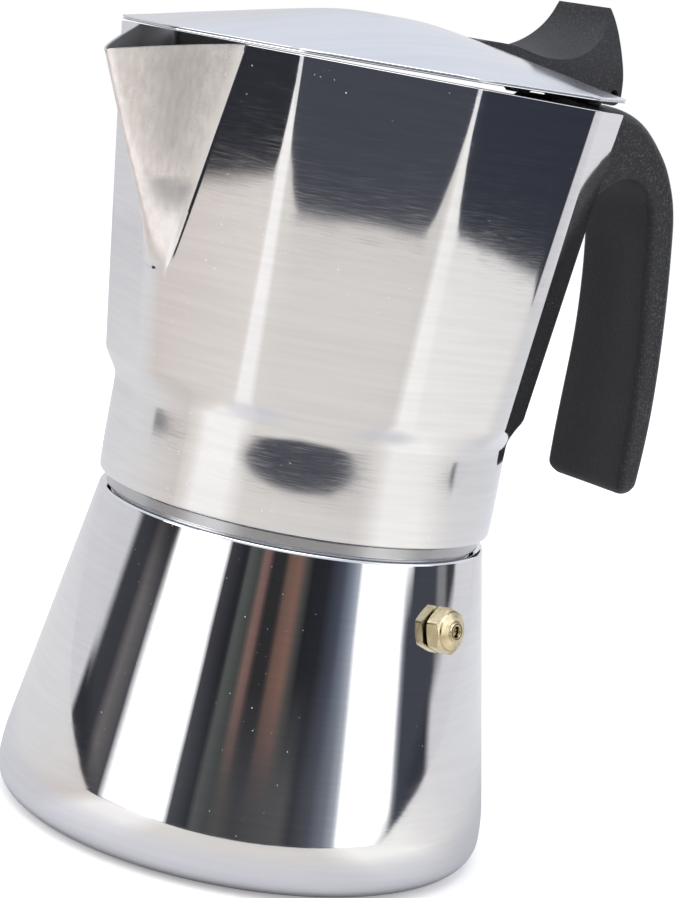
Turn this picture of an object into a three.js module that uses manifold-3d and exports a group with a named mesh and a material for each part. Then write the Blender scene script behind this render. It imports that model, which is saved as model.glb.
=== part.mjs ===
// A stovetop moka pot: boiler, funnel, collector with a spout, lid, handle and safety valve.
// Millimetres, +Z up. The origin is the centre of the boiler's flat underside, the handle points
// along +X and the spout along -X.
import * as THREE from "three";
import { mergeVertices } from "three/addons/utils/BufferGeometryUtils.js";
import Module from "manifold-3d";

const wasm = await Module();
wasm.setup();

// ---------- driving dimensions ----------

const GAP = 0.3; // clearance between neighbouring pieces
const SHEET = 1.2; // wall of the collector
const ROUND_SIDES = 48; // facets of the large round pieces
const SMALL_SIDES = 16; // facets of the small round pieces

const RIM_Z = 183; // top edge of the collector
const RIM_R = 60; // its corner radius
const SIDES = 10; // flat facets of the collector
const FACET_BOTTOM_Z = 109;
const FACET_BOTTOM_R = 51.6;
const NECK_Z = 102; // where the facets have run into the round neck
const NECK_R = 47.7;
const BAND_Z = 79.8; // lower edge of the collector
const BAND_R = 47.0;

const SPOUT_TIP_R = 74.5;
const SPOUT_TIP_DROP = 6.6; // tip below the rim
const SPOUT_APEX_DROP = 51.5; // lowest point of the fold
const SPOUT_ROOT_HALF = 20.6; // half width at the rim
const SPOUT_FOLD_HALF = 5.2; // half width at the lowest point
const SPOUT_NOSE = 1.6; // roundness of the keel

const SHOULDER_Z = 76.2; // top of the boiler's cone
const SHOULDER_R = 46.6;
const BASE_R = 61.3; // the cone's radius carried down to the ground
const BASE_ROUND = 7;
const BOILER_WALL = 1.5;
const BOILER_FLOOR = 3;
const COLLAR_R = 45; // polished ring in the groove between boiler and collector
const THROAT_R = 42.2; // root of the male thread
const THROAT_BORE = 40.2;
const THROAT_TOP = 92;
const THREAD_PITCH = 5;
const THREAD_TURNS = 1.8;
const THREAD_START = BAND_Z + 1.2;
const THREAD_SECTION = 0.9; // rolled thread, round section
const RING_BORE = 43.6; // root of the female thread
const RING_HEIGHT = 17;

const VALVE_Z = 61.3; // where the valve's axis leaves the wall
const VALVE_ANGLE = -80; // degrees from the handle
const LID_TILT = 1.4; // degrees: the lid rests on the rim at the spout and on its hinge at the back
const LID_EDGE_H = 1.8; // underside of the lid's edge above the rim, before the tilt
const LID_SHEET = 0.7;
const HINGE_X = 65.4;
const HINGE_H = 4.3; // hinge axis above the rim
const PIN_R = 1.2;
const HANDLE_HALF = 12.5; // half width of the handle's arm

// ---------- materials ----------

const metal = (color, roughness) => new THREE.MeshStandardMaterial({ color, roughness, metalness: 1 });
const polished = metal(0xd4d5d8, 0.15);
const satin = metal(0xb8b6b2, 0.35);
const brass = metal(0xc9b377, 0.3);
const steel = metal(0xa8a8aa, 0.3);
const plastic = new THREE.MeshStandardMaterial({ color: 0x2e2e30, roughness: 0.6, metalness: 0 });
const rubber = new THREE.MeshStandardMaterial({ color: 0xe8e4dc, roughness: 0.8, metalness: 0 });

// ---------- small helpers ----------

const rad = THREE.MathUtils.degToRad;
const clamp01 = (v) => Math.min(1, Math.max(0, v));
const smooth = (v) => clamp01(v) ** 2 * (3 - 2 * clamp01(v));
const mix = (a, b, t) => a + (b - a) * t;
const pt = (x, y) => new THREE.Vector2(x, y);

// A closed geometry as a solid that can be joined and cut.
function solid(geometry) {
  const bare = geometry.clone();
  bare.deleteAttribute("normal");
  bare.deleteAttribute("uv");
  const merged = mergeVertices(bare, 1e-4);
  return new wasm.Manifold(new wasm.Mesh({
    numProp: 3,
    vertProperties: new Float32Array(merged.attributes.position.array),
    triVerts: new Uint32Array(merged.index.array),
  }));
}

function geometryOf(body) {
  const { vertProperties, triVerts } = body.getMesh();
  const geometry = new THREE.BufferGeometry();
  geometry.setAttribute("position", new THREE.BufferAttribute(vertProperties, 3));
  geometry.setIndex(new THREE.BufferAttribute(triVerts, 1));
  return geometry;
}

function piece(name, shape, material, group = pot) {
  const geometry = shape.isBufferGeometry ? shape : geometryOf(shape);
  const mesh = new THREE.Mesh(geometry, material);
  mesh.name = name;
  group.add(mesh);
  return mesh;
}

// A turned solid about +Z from a profile of (radius, height) points that runs upwards on the outside.
function turned(profile, sides = ROUND_SIDES) {
  const onAxis = profile[0].x === 0 && profile.at(-1).x === 0;
  const points = onAxis ? profile : [...profile, profile[0]];
  return new THREE.LatheGeometry(points, sides).rotateX(Math.PI / 2);
}

// A flat ring or disc between two heights.
function ring(inner, outer, low, high, sides = ROUND_SIDES) {
  if (inner === 0) return turned([pt(0, low), pt(outer, low), pt(outer, high), pt(0, high)], sides);
  return turned([pt(inner, low), pt(outer, low), pt(outer, high), pt(inner, high)], sides);
}

function box(low, high) {
  const size = high.map((v, i) => v - low[i]);
  return solid(new THREE.BoxGeometry(...size).translate(...low.map((v, i) => v + size[i] / 2)));
}

// A cylinder along Y, centred at (x, z).
function crossCylinder(radius, x, z, y0, y1, sides = SMALL_SIDES) {
  const shape = new THREE.CylinderGeometry(radius, radius, y1 - y0, sides);
  return solid(shape.translate(x, (y0 + y1) / 2, z));
}

// A stack of closed rings with the same number of points, capped flat at both ends.
function lofted(rings) {
  const count = rings[0].length;
  const positions = rings.flat().flatMap((p) => [p.x, p.y, p.z]);
  const index = [];
  for (let row = 0; row < rings.length - 1; row += 1) {
    for (let k = 0; k < count; k += 1) {
      const a = row * count + k;
      const b = row * count + ((k + 1) % count);
      index.push(a, b, b + count, a, b + count, a + count);
    }
  }
  for (const [row, flip] of [[0, true], [rings.length - 1, false]]) {
    const centre = positions.length / 3;
    const mid = rings[row].reduce((s, p) => s.add(p), new THREE.Vector3()).divideScalar(count);
    positions.push(mid.x, mid.y, mid.z);
    for (let k = 0; k < count; k += 1) {
      const a = row * count + k;
      const b = row * count + ((k + 1) % count);
      index.push(...(flip ? [centre, b, a] : [centre, a, b]));
    }
  }
  const geometry = new THREE.BufferGeometry();
  geometry.setAttribute("position", new THREE.Float32BufferAttribute(positions, 3));
  geometry.setIndex(index);
  return geometry;
}

// A round-section helix about +Z: the ridge of a rolled thread, or a coil spring.
class Helix extends THREE.Curve {
  constructor(radius, pitch, turns, start) {
    super();
    Object.assign(this, { radius, pitch, turns, start });
  }

  getPoint(t, target = new THREE.Vector3()) {
    const angle = t * this.turns * 2 * Math.PI;
    const height = this.start + t * this.turns * this.pitch;
    return target.set(this.radius * Math.cos(angle), this.radius * Math.sin(angle), height);
  }
}

function coil(radius, pitch, turns, start, section, stepsPerTurn = 20, sides = 6) {
  const disc = new THREE.Shape(
    Array.from({ length: sides }, (_, i) => {
      const a = (i / sides) * 2 * Math.PI;
      return pt(section * Math.cos(a), section * Math.sin(a));
    }),
  );
  const path = new Helix(radius, pitch, turns, start);
  const steps = Math.round(turns * stepsPerTurn);
  return new THREE.ExtrudeGeometry(disc, { extrudePath: path, steps });
}

// Points of a circular arc in a profile, both ends included.
function arc(cx, cy, r, from, to, steps) {
  return Array.from({ length: steps + 1 }, (_, i) => {
    const a = rad(mix(from, to, i / steps));
    return pt(cx + r * Math.cos(a), cy + r * Math.sin(a));
  });
}

const pot = new THREE.Group();

// ---------- boiler ----------

const coneSlope = (BASE_R - SHOULDER_R) / SHOULDER_Z;
const coneR = (z) => BASE_R - coneSlope * z;
const coneAngle = THREE.MathUtils.radToDeg(Math.atan(coneSlope));

function boiler() {
  const slant = Math.hypot(1, coneSlope);
  const roundX = BASE_R - BASE_ROUND * (coneSlope + slant);
  const inner = (z) => coneR(z) - BOILER_WALL * slant;
  const wallTop = SHOULDER_Z - 1;
  const shell = turned([
    pt(0, 0),
    ...arc(roundX, BASE_ROUND, BASE_ROUND, -90, coneAngle, 5),
    pt(SHOULDER_R, SHOULDER_Z - 0.5),
    pt(SHOULDER_R - 0.5, SHOULDER_Z),
    pt(COLLAR_R, SHOULDER_Z + 0.4),
    pt(COLLAR_R, BAND_Z - 0.5),
    pt(THROAT_R, BAND_Z - 0.4),
    pt(THROAT_R, THROAT_TOP),
    pt(THROAT_BORE, THROAT_TOP),
    pt(THROAT_BORE, SHOULDER_Z),
    pt(inner(wallTop) - 1.5, wallTop),
    pt(inner(wallTop - 3), wallTop - 3),
    pt(inner(BASE_ROUND + 1), BASE_ROUND + 1),
    pt(roundX, BOILER_FLOOR),
    pt(0, BOILER_FLOOR),
  ]);
  const thread = coil(THROAT_R, THREAD_PITCH, THREAD_TURNS, THREAD_START, THREAD_SECTION);
  const bore = new THREE.CylinderGeometry(VALVE_STUB_R + 0.2, VALVE_STUB_R + 0.2, 10, SMALL_SIDES);
  const hole = solid(bore.rotateZ(Math.PI / 2)).transform(valveFrame().matrix.elements);
  return solid(shell).add(solid(thread)).subtract(hole);
}

// ---------- safety valve: built along its own X axis, 0 at the boiler's outer wall ----------

const VALVE_STUB_R = 3.9;
const VALVE_SEAT = -2.95;
const VALVE_FLANGE = { r: 6.2, from: -4.4, to: -2.9 };
const VALVE_SEAL = { r: 6.0, from: -2.7, to: -1.95 };
const VALVE_CAP = { corner: 5.6, from: 0.35, shoulder: 3.85, crown: 5.05, end: 5.45, nipple: 2.35, hole: 1.3 };

function valveFrame() {
  const frame = new THREE.Object3D();
  frame.rotation.order = "ZYX";
  frame.rotation.z = rad(VALVE_ANGLE);
  frame.rotation.y = -rad(coneAngle);
  const r = coneR(VALVE_Z);
  frame.position.set(r * Math.cos(rad(VALVE_ANGLE)), r * Math.sin(rad(VALVE_ANGLE)), VALVE_Z);
  frame.updateMatrix();
  return frame;
}

// Turned about the valve's axis: the profile's height becomes X.
const alongX = (geometry) => geometry.rotateY(Math.PI / 2);

function hexagon(corner, from, to) {
  const prism = new THREE.CylinderGeometry(corner, corner, to - from, 6);
  return alongX(prism.rotateX(Math.PI / 2).translate(0, 0, (from + to) / 2)).rotateX(rad(22));
}

function valveBody() {
  return alongX(turned([
    pt(1.4, VALVE_FLANGE.from),
    pt(VALVE_FLANGE.r, VALVE_FLANGE.from),
    pt(VALVE_FLANGE.r, VALVE_FLANGE.to),
    pt(VALVE_STUB_R, VALVE_FLANGE.to),
    pt(VALVE_STUB_R, VALVE_CAP.shoulder - 0.7),
    pt(3.0, VALVE_CAP.shoulder - 0.7),
    pt(3.0, VALVE_SEAT),
    pt(1.4, VALVE_SEAT),
  ], SMALL_SIDES));
}

function valveCap() {
  const { corner, from, shoulder, crown, end, nipple, hole } = VALVE_CAP;
  const flat = corner * Math.cos(Math.PI / 6);
  const hex = solid(hexagon(corner, from, shoulder + 0.6));
  const chamfer = solid(alongX(turned([
    pt(0, from - 1),
    pt(corner + 1, from - 1),
    pt(corner + 1, shoulder - 1.6),
    pt(flat, shoulder),
    pt(flat - 1.2, crown - 0.3),
    pt(nipple + 0.5, crown),
    pt(0, crown),
  ], SMALL_SIDES)));
  const crownDome = solid(alongX(turned([
    pt(0, shoulder - 1),
    pt(flat - 0.1, shoulder - 1),
    pt(flat - 0.1, shoulder),
    pt(flat - 1.2, crown - 0.3),
    pt(nipple + 0.5, crown),
    pt(nipple, crown),
    pt(nipple, end),
    pt(0, end),
  ], SMALL_SIDES)));
  const bore = solid(alongX(ring(0, VALVE_STUB_R + 0.2, from - 1, shoulder - 0.4, SMALL_SIDES)));
  const eye = solid(alongX(ring(0, hole, from, end + 1, SMALL_SIDES)));
  return hex.intersect(chamfer).add(crownDome).subtract(bore).subtract(eye);
}

function valvePlunger() {
  return alongX(turned([
    pt(0, VALVE_SEAT - 0.9),
    pt(0.6, VALVE_SEAT - 0.9),
    pt(1.0, VALVE_SEAT + 0.1),
    pt(2.4, VALVE_SEAT + 0.4),
    pt(2.4, VALVE_SEAT + 1.2),
    pt(0.95, VALVE_SEAT + 1.4),
    pt(0.95, VALVE_SEAT + 7.3),
    pt(0.6, VALVE_SEAT + 7.6),
    pt(0, VALVE_SEAT + 7.6),
  ], SMALL_SIDES));
}

function addValve() {
  const valve = valveFrame();
  pot.add(valve);
  const stubBore = VALVE_STUB_R + 0.25;
  const seal = alongX(ring(stubBore, VALVE_SEAL.r, VALVE_SEAL.from, VALVE_SEAL.to, SMALL_SIDES));
  piece("valve_body", valveBody(), brass, valve);
  piece("valve_gasket", seal, rubber, valve);
  piece("valve_cap", valveCap(), brass, valve);
  piece("valve_plunger", valvePlunger(), brass, valve);
  const springTurns = 4;
  const springLength = 4.0;
  const spring = coil(1.9, springLength / springTurns, springTurns, VALVE_SEAT + 1.9, 0.22, 12, 5);
  piece("valve_spring", alongX(spring), steel, valve);
}

// ---------- funnel ----------

const FUNNEL_R = 33;
const FUNNEL_WALL = 0.8;
const FUNNEL_TOP = THROAT_TOP + GAP;
const FUNNEL_LEDGE = 75.5;
const PLATE = 0.7; // sheet of the two perforated plates
const PLATE_HOLE = 1.4;
const STEM_R = 4.6;
const STEM_TOP = 65;
const STEM_BOTTOM = 7;

function funnelBasket() {
  const sleeve = STEM_R + GAP;
  const inside = FUNNEL_R - FUNNEL_WALL;
  return turned([
    pt(sleeve, STEM_TOP - 4),
    pt(sleeve + FUNNEL_WALL, STEM_TOP - 4),
    pt(sleeve + FUNNEL_WALL, STEM_TOP + 1),
    pt(FUNNEL_R, FUNNEL_LEDGE - 1),
    pt(FUNNEL_R, FUNNEL_TOP),
    pt(THROAT_R - 0.4, FUNNEL_TOP),
    pt(THROAT_R - 0.4, FUNNEL_TOP + FUNNEL_WALL),
    pt(inside, FUNNEL_TOP + FUNNEL_WALL),
    pt(inside, FUNNEL_LEDGE),
    pt(sleeve, STEM_TOP + 2),
  ]);
}

// A disc with rings of round holes.
function perforated(radius, low, high, holeR, rows, spacing) {
  let plate = solid(ring(0, radius, low, high));
  for (let row = 0; row < rows; row += 1) {
    const count = row === 0 ? 1 : row * 6;
    for (let k = 0; k < count; k += 1) {
      const a = (k / count) * 2 * Math.PI;
      const drill = new THREE.CylinderGeometry(holeR, holeR, high - low + 2, 6).rotateX(Math.PI / 2);
      drill.translate(row * spacing * Math.cos(a), row * spacing * Math.sin(a), (low + high) / 2);
      plate = plate.subtract(solid(drill));
    }
  }
  return plate;
}

function addFunnel() {
  piece("funnel_basket", funnelBasket(), satin);
  const sieveR = FUNNEL_R - FUNNEL_WALL - GAP;
  const sieveZ = FUNNEL_LEDGE + 0.5;
  piece("funnel_sieve", perforated(sieveR, sieveZ, sieveZ + PLATE, PLATE_HOLE, 3, 9), satin);
  piece("funnel_stem", ring(STEM_R - 0.8, STEM_R, STEM_BOTTOM, STEM_TOP, SMALL_SIDES), satin);
}

// ---------- seal set under the collector ----------

function addSeals() {
  const low = FUNNEL_TOP + FUNNEL_WALL + GAP;
  const high = low + 3;
  piece("gasket", ring(FUNNEL_R + 0.5, THROAT_R - 0.2, low, high), rubber);
  const plateZ = high + GAP;
  piece("filter_plate", perforated(40, plateZ, plateZ + PLATE, PLATE_HOLE, 3, 11), polished);
}

// ---------- collector: a ten-sided jug with a folded spout and a round neck ----------

const FACET_STEP = (2 * Math.PI) / SIDES;
const SPOUT_POINTS = 6;
const FIRST_FACET_POINTS = 3;
const FACET_POINTS = 4;
const APEX_Z = RIM_Z - SPOUT_APEX_DROP;

const cornerR = (z) =>
  mix(FACET_BOTTOM_R, RIM_R, (z - FACET_BOTTOM_Z) / (RIM_Z - FACET_BOTTOM_Z));

// Half width of the spout's fold, and how far its keel stands out of the corner, at a height.
const foldHalf = (z) =>
  mix(SPOUT_FOLD_HALF, SPOUT_ROOT_HALF, clamp01((z - APEX_Z) / SPOUT_APEX_DROP));
function keelR(z) {
  const s = clamp01((z - APEX_Z) / (SPOUT_APEX_DROP - SPOUT_TIP_DROP));
  const tipBulge = SPOUT_TIP_R - cornerR(RIM_Z - SPOUT_TIP_DROP);
  return cornerR(z) + tipBulge * s * (1 - Math.exp(-4.5 * s)) / (1 - Math.exp(-4.5));
}

// Half of the decagon's outline from the spout's keel round to the handle's corner, as (r, t):
// r along the spout's direction and t to one side.
function halfOutline(z, keelZ) {
  const corner = cornerR(Math.max(z, FACET_BOTTOM_Z));
  const half = foldHalf(z);
  const rootR = corner - half * Math.tan(FACET_STEP / 2);
  const keel = keelR(Math.max(keelZ, FACET_BOTTOM_Z));
  const rounded = (t) => Math.hypot(t, SPOUT_NOSE) - SPOUT_NOSE;
  const points = [];
  for (let i = 0; i <= SPOUT_POINTS; i += 1) {
    const t = half * (i / SPOUT_POINTS) ** 1.3;
    points.push(pt(keel - (keel - rootR) * rounded(t) / rounded(half), t));
  }
  const corners = Array.from({ length: SIDES / 2 }, (_, i) => {
    const a = (i + 1) * FACET_STEP;
    return pt(corner * Math.cos(a), corner * Math.sin(a));
  });
  corners.forEach((end, i) => {
    const start = i === 0 ? points[SPOUT_POINTS] : corners[i - 1];
    const steps = i === 0 ? FIRST_FACET_POINTS : FACET_POINTS;
    for (let k = 1; k <= steps; k += 1) points.push(start.clone().lerp(end, k / steps));
  });
  return points;
}

// Below the facets the outline runs smoothly into a circle.
function towardsRound(p, z) {
  const radius = mix(BAND_R, NECK_R, clamp01((z - BAND_Z) / (NECK_Z - BAND_Z)));
  const share = smooth((FACET_BOTTOM_Z - z) / (FACET_BOTTOM_Z - NECK_Z));
  return p.clone().lerp(p.clone().setLength(radius), share);
}

function lipDrop(i) {
  const share = clamp01(1 - (i / SPOUT_POINTS) ** 1.3);
  return SPOUT_TIP_DROP * share ** 1.1;
}

// One ring of the collector's surface; grow moves it out of, or into, the sheet.
function collectorRing(z, grow) {
  const rise = clamp01((z - APEX_Z) / SPOUT_APEX_DROP);
  const half = halfOutline(z, z - SPOUT_TIP_DROP * rise).map((p, i) => {
    const q = towardsRound(p, z);
    q.setLength(q.length() + grow);
    return new THREE.Vector3(-q.x, -q.y, z - lipDrop(i) * rise);
  });
  const mirrored = half.slice(1, -1).reverse().map((p) => new THREE.Vector3(p.x, -p.y, p.z));
  return [...half, ...mirrored];
}

const NECK_ROWS = [102, 104, 106.5];
const JUG_ROWS = [109, 121, APEX_Z, 138, 146, 157, 169, RIM_Z];

function collectorShell() {
  const bandRows = [BAND_Z + 1, BAND_Z + 11];
  const rows = [...bandRows, ...NECK_ROWS, ...JUG_ROWS];
  const outer = [collectorRing(BAND_Z, -0.8), ...rows.map((z) => collectorRing(z, 0))];
  const inner = [BAND_Z, ...rows].map((z) => collectorRing(z, -SHEET));
  const cavity = [
    inner[0].map((p) => p.clone().setZ(BAND_Z - 1)),
    ...inner.slice(1, -1),
    inner.at(-1).map((p) => p.clone().setZ(p.z + 0.01)),
  ];
  return solid(lofted(outer)).subtract(solid(lofted(cavity)));
}

// A plain ten-sided cone around the collector's facets, used to cut what fits against them.
function facetCone(grow, lowZ, highZ) {
  const level = (z) => Array.from({ length: SIDES }, (_, i) => {
    const r = cornerR(z) + grow / Math.cos(FACET_STEP / 2);
    const a = i * FACET_STEP;
    return new THREE.Vector3(r * Math.cos(a), r * Math.sin(a), z);
  });
  return solid(lofted([level(lowZ), level(highZ)]));
}

function threadRing() {
  const low = BAND_Z + 0.5;
  const sleeve = solid(ring(RING_BORE, BAND_R - SHEET - GAP, low, low + RING_HEIGHT));
  const start = THREAD_START + THREAD_PITCH / 2;
  const ridge = solid(coil(RING_BORE, THREAD_PITCH, THREAD_TURNS, start, THREAD_SECTION));
  return sleeve.add(ridge);
}

const FLOOR_Z = 98.2;
const FLOOR_R = NECK_R - SHEET - 0.6;
const COLUMN_R = 6;
const COLUMN_TOP = 157;

function collectorFloor() {
  const hole = COLUMN_R + GAP;
  return turned([
    pt(hole, FLOOR_Z + 2),
    pt(16, FLOOR_Z + 2),
    pt(22, FLOOR_Z),
    pt(FLOOR_R, FLOOR_Z),
    pt(FLOOR_R, FLOOR_Z + 1),
    pt(22.5, FLOOR_Z + 1),
    pt(16.5, FLOOR_Z + 3),
    pt(hole, FLOOR_Z + 3),
  ]);
}

function coffeeColumn() {
  const flange = FLOOR_Z + 3 + GAP;
  return turned([
    pt(COLUMN_R - 1, FLOOR_Z + 0.4),
    pt(COLUMN_R, FLOOR_Z + 0.4),
    pt(COLUMN_R, flange),
    pt(11, flange),
    pt(11, flange + 1),
    pt(COLUMN_R + 2, flange + 2),
    pt(COLUMN_R, flange + 7),
    pt(COLUMN_R - 0.6, COLUMN_TOP),
    pt(COLUMN_R - 1.6, COLUMN_TOP),
    pt(COLUMN_R - 1, flange + 7),
  ], 24);
}

function columnCap() {
  const inner = COLUMN_R + GAP;
  const crown = COLUMN_TOP + 7;
  const shell = solid(turned([
    pt(inner, COLUMN_TOP - 6),
    pt(inner + 1, COLUMN_TOP - 6),
    pt(inner + 1, COLUMN_TOP + 3),
    pt(inner - 1.5, COLUMN_TOP + 6),
    pt(0, crown),
    pt(0, crown - 1),
    pt(inner - 2.3, COLUMN_TOP + 5.1),
    pt(inner, COLUMN_TOP + 2.6),
  ], 24));
  const window = box([-3, -10, COLUMN_TOP + 0.5], [3, 10, COLUMN_TOP + 4]);
  return shell.subtract(window);
}

function addCollector() {
  piece("collector", collectorShell(), polished);
  piece("thread_ring", threadRing(), satin);
  piece("collector_floor", collectorFloor(), satin);
  piece("coffee_column", coffeeColumn(), satin);
  piece("column_cap", columnCap(), satin);
}

// ---------- handle, its bracket and its screw ----------

const h = (drop) => RIM_Z + drop; // a height measured from the rim
const ARM_TOP = 1.2;
const HANDLE_END = -97.2;
const STRAP_OUT = 104.8;
const STRAP_IN = 96;
const TONGUE = { low: -11, high: -9, end: 77, half: 5 };
const SCREW_X = 72;

function handleOutline() {
  const outline = new THREE.Shape();
  const corner = 4.2;
  outline.moveTo(56, ARM_TOP);
  outline.lineTo(56, -28);
  outline.lineTo(60, -28);
  outline.bezierCurveTo(66, -24, 70, -15.8, 79.5, -15.8);
  outline.bezierCurveTo(87.6, -15.8, 89, -26, 91.4, -36);
  outline.bezierCurveTo(94, -47, 96.6, -70, STRAP_IN, HANDLE_END + corner);
  outline.absarc(STRAP_IN + corner, HANDLE_END + corner, corner, Math.PI, 1.5 * Math.PI, false);
  outline.absarc(STRAP_OUT - corner, HANDLE_END + corner, corner, 1.5 * Math.PI, 2 * Math.PI, false);
  outline.bezierCurveTo(STRAP_OUT + 0.4, -55, 101.5, -34, 98.6, -22);
  outline.bezierCurveTo(96, -11, 85, 1.4, 73, 1.6);
  outline.lineTo(56, ARM_TOP);
  return outline;
}

// An outline in the XZ plane, extruded to both sides of Y = 0 with rounded edges.
function extrudedAcross(outline, half, bevel, curveSegments) {
  const shape = new THREE.ExtrudeGeometry(outline, {
    depth: 2 * (half - bevel),
    bevelSize: bevel,
    bevelThickness: bevel,
    bevelOffset: -bevel,
    bevelSegments: 2,
    curveSegments,
  });
  shape.translate(0, 0, -(half - bevel));
  return shape.rotateX(Math.PI / 2);
}

// Scales the width (Y) of a geometry by a function of height above the rim.
function flared(geometry, widthAt) {
  const position = geometry.attributes.position;
  for (let i = 0; i < position.count; i += 1) {
    position.setY(i, position.getY(i) * widthAt(position.getZ(i)));
  }
  return geometry;
}

function handle() {
  const widen = (drop) => 1 + 0.14 * smooth((-drop - 38) / 50);
  const grip = flared(extrudedAcross(handleOutline(), HANDLE_HALF, 1.8, 8), widen);
  const ear = crossCylinder(2.6, HINGE_X, h(HINGE_H), -8, 8);
  const earRoot = box([62.9, -8, h(-2)], [67.9, 8, h(HINGE_H)]);
  const seat = facetCone(GAP, h(-40), h(10));
  const pocket = facetCone(2, h(-24.5), h(-3.5)).intersect(box([40, -9.4, h(-24.5)], [70, 9.4, h(-3.5)]));
  const t = TONGUE;
  const slot = box([50, -t.half - GAP, h(t.low - GAP)], [t.end + GAP, t.half + GAP, h(t.high + GAP)]);
  const headBore = solid(ring(0, 3.6, h(-30), h(-14.2), SMALL_SIDES).translate(SCREW_X, 0, 0));
  const shankBore = solid(ring(0, 2.1, h(-20), h(-7), SMALL_SIDES).translate(SCREW_X, 0, 0));
  const pinBore = crossCylinder(PIN_R + 0.05, HINGE_X, h(HINGE_H), -9, 9);
  return solid(grip.translate(0, 0, RIM_Z)).add(ear).add(earRoot)
    .subtract(seat).subtract(pocket).subtract(slot).subtract(headBore).subtract(shankBore).subtract(pinBore);
}

function handleBracket() {
  const frame = box([40, -9, h(-24)], [70, 9, h(-4)]);
  const saddle = facetCone(1.6, h(-24), h(-4)).subtract(facetCone(GAP, h(-26), h(-2))).intersect(frame);
  const t = TONGUE;
  const tongue = box([RIM_R, -t.half, h(t.low)], [t.end, t.half, h(t.high)]);
  const screwHole = solid(ring(0, 2.1, h(-20), h(0), SMALL_SIDES).translate(SCREW_X, 0, 0));
  return saddle.add(tongue).subtract(screwHole);
}

function handleScrew() {
  const screw = turned([
    pt(0, -17.2),
    pt(3.0, -17.2),
    pt(3.3, -16.6),
    pt(3.3, -14.6),
    pt(1.8, -14.5),
    pt(1.8, -8),
    pt(1.2, -7.4),
    pt(0, -7.4),
  ], SMALL_SIDES);
  const slot = box([-4, -0.5, -18], [4, 0.5, -16.2]);
  return solid(screw).subtract(slot).translate([SCREW_X, 0, RIM_Z]);
}

function addHandle() {
  piece("handle", handle(), plastic);
  piece("handle_bracket", handleBracket(), steel);
  piece("handle_screw", handleScrew(), steel);
  piece("hinge_pin", crossCylinder(PIN_R, HINGE_X, h(HINGE_H), -12.6, 13.4), steel);
}

// ---------- lid ----------

const LID_R = 59.7;
const LID_APEX = 12.5; // dome above the rim
// The top surface as (corner radius, height above the rim, how round the ring is).
const LID_ROWS = [
  [LID_R, LID_EDGE_H + LID_SHEET, 0],
  [56, 3.2, 0.1],
  [50, 4.5, 0.6],
  [43.2, 5.95, 1],
  [32, 8.25, 1],
  [21.4, 10.42, 1],
  [14, 11.55, 1],
  [7, 12.25, 1],
];

// One ring of the lid; grow widens it and lift raises it.
function lidRing([radius, height, round], grow, lift) {
  const count = SIDES * 4;
  return Array.from({ length: count }, (_, i) => {
    const a = (i / count) * 2 * Math.PI;
    const inFacet = ((a + FACET_STEP / 2) % FACET_STEP) - FACET_STEP / 2;
    const flat = Math.cos(FACET_STEP / 2) / Math.cos(FACET_STEP / 2 - Math.abs(inFacet));
    const r = (radius + grow) * mix(flat, 1 - 0.02 * (1 - round), round);
    return new THREE.Vector3(r * Math.cos(a), r * Math.sin(a), RIM_Z + height + lift);
  });
}

const lidTilt = new THREE.Matrix4()
  .makeTranslation(0, 0, RIM_Z + LID_EDGE_H)
  .multiply(new THREE.Matrix4().makeRotationY(-rad(LID_TILT)))
  .multiply(new THREE.Matrix4().makeTranslation(0, 0, -RIM_Z - LID_EDGE_H));

// Everything below the lid's top surface, down to a given height above the rim.
function underLid(grow, lift, bottom) {
  const apex = [0.5, LID_APEX, 1];
  const rows = [...LID_ROWS, apex].map((row) => lidRing(row, grow, lift));
  const base = lidRing([LID_R, bottom, 0], grow, 0);
  return solid(lofted([base, ...rows])).transform(lidTilt.elements);
}

const KNOB_SCREWS = [30, 46];

function lidDrill(radius, x) {
  return solid(ring(0, radius, h(-5), h(30), SMALL_SIDES).translate(x, 0, 0));
}

function lidShell() {
  let shell = underLid(0, 0, LID_EDGE_H).subtract(underLid(-SHEET, -LID_SHEET, LID_EDGE_H - 4));
  for (const x of KNOB_SCREWS) shell = shell.subtract(lidDrill(2.1, x));
  return shell;
}

function knobOutline() {
  const outline = new THREE.Shape();
  outline.moveTo(18, 6);
  outline.lineTo(60.4, 1.95);
  outline.lineTo(HINGE_X, 1.75);
  outline.absarc(HINGE_X, HINGE_H, 2.55, -Math.PI / 2, 0, false);
  outline.bezierCurveTo(67.6, 12, 66.9, 20, 63.4, 25);
  outline.lineTo(62.7, 25);
  outline.bezierCurveTo(62.3, 16, 53, 10, 41.5, 10);
  outline.bezierCurveTo(36, 10, 34, 11.3, 28, 11.3);
  outline.bezierCurveTo(24, 11.3, 21, 11.2, 18, 10.9);
  outline.lineTo(18, 6);
  return outline;
}

function lidKnob() {
  const bottomHalf = 14;
  const narrow = (height) => 1 - 0.0223 * Math.max(0, height - 9);
  const block = flared(extrudedAcross(knobOutline(), bottomHalf, 0.4, 10), narrow).translate(0, 0, RIM_Z);
  const earSlot = box([61.3, -8.35, h(0)], [72, 8.35, h(HINGE_H + 3.2)]);
  const pinBore = crossCylinder(PIN_R + 0.15, HINGE_X, h(HINGE_H), -13, 16);
  let body = solid(block).subtract(underLid(0.4, GAP, -12)).subtract(earSlot).subtract(pinBore);
  for (const x of KNOB_SCREWS) {
    const shank = solid(ring(0, 1.75, h(0), h(10.2), SMALL_SIDES).translate(x, 0, 0));
    body = body.subtract(shank);
  }
  return body;
}

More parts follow.
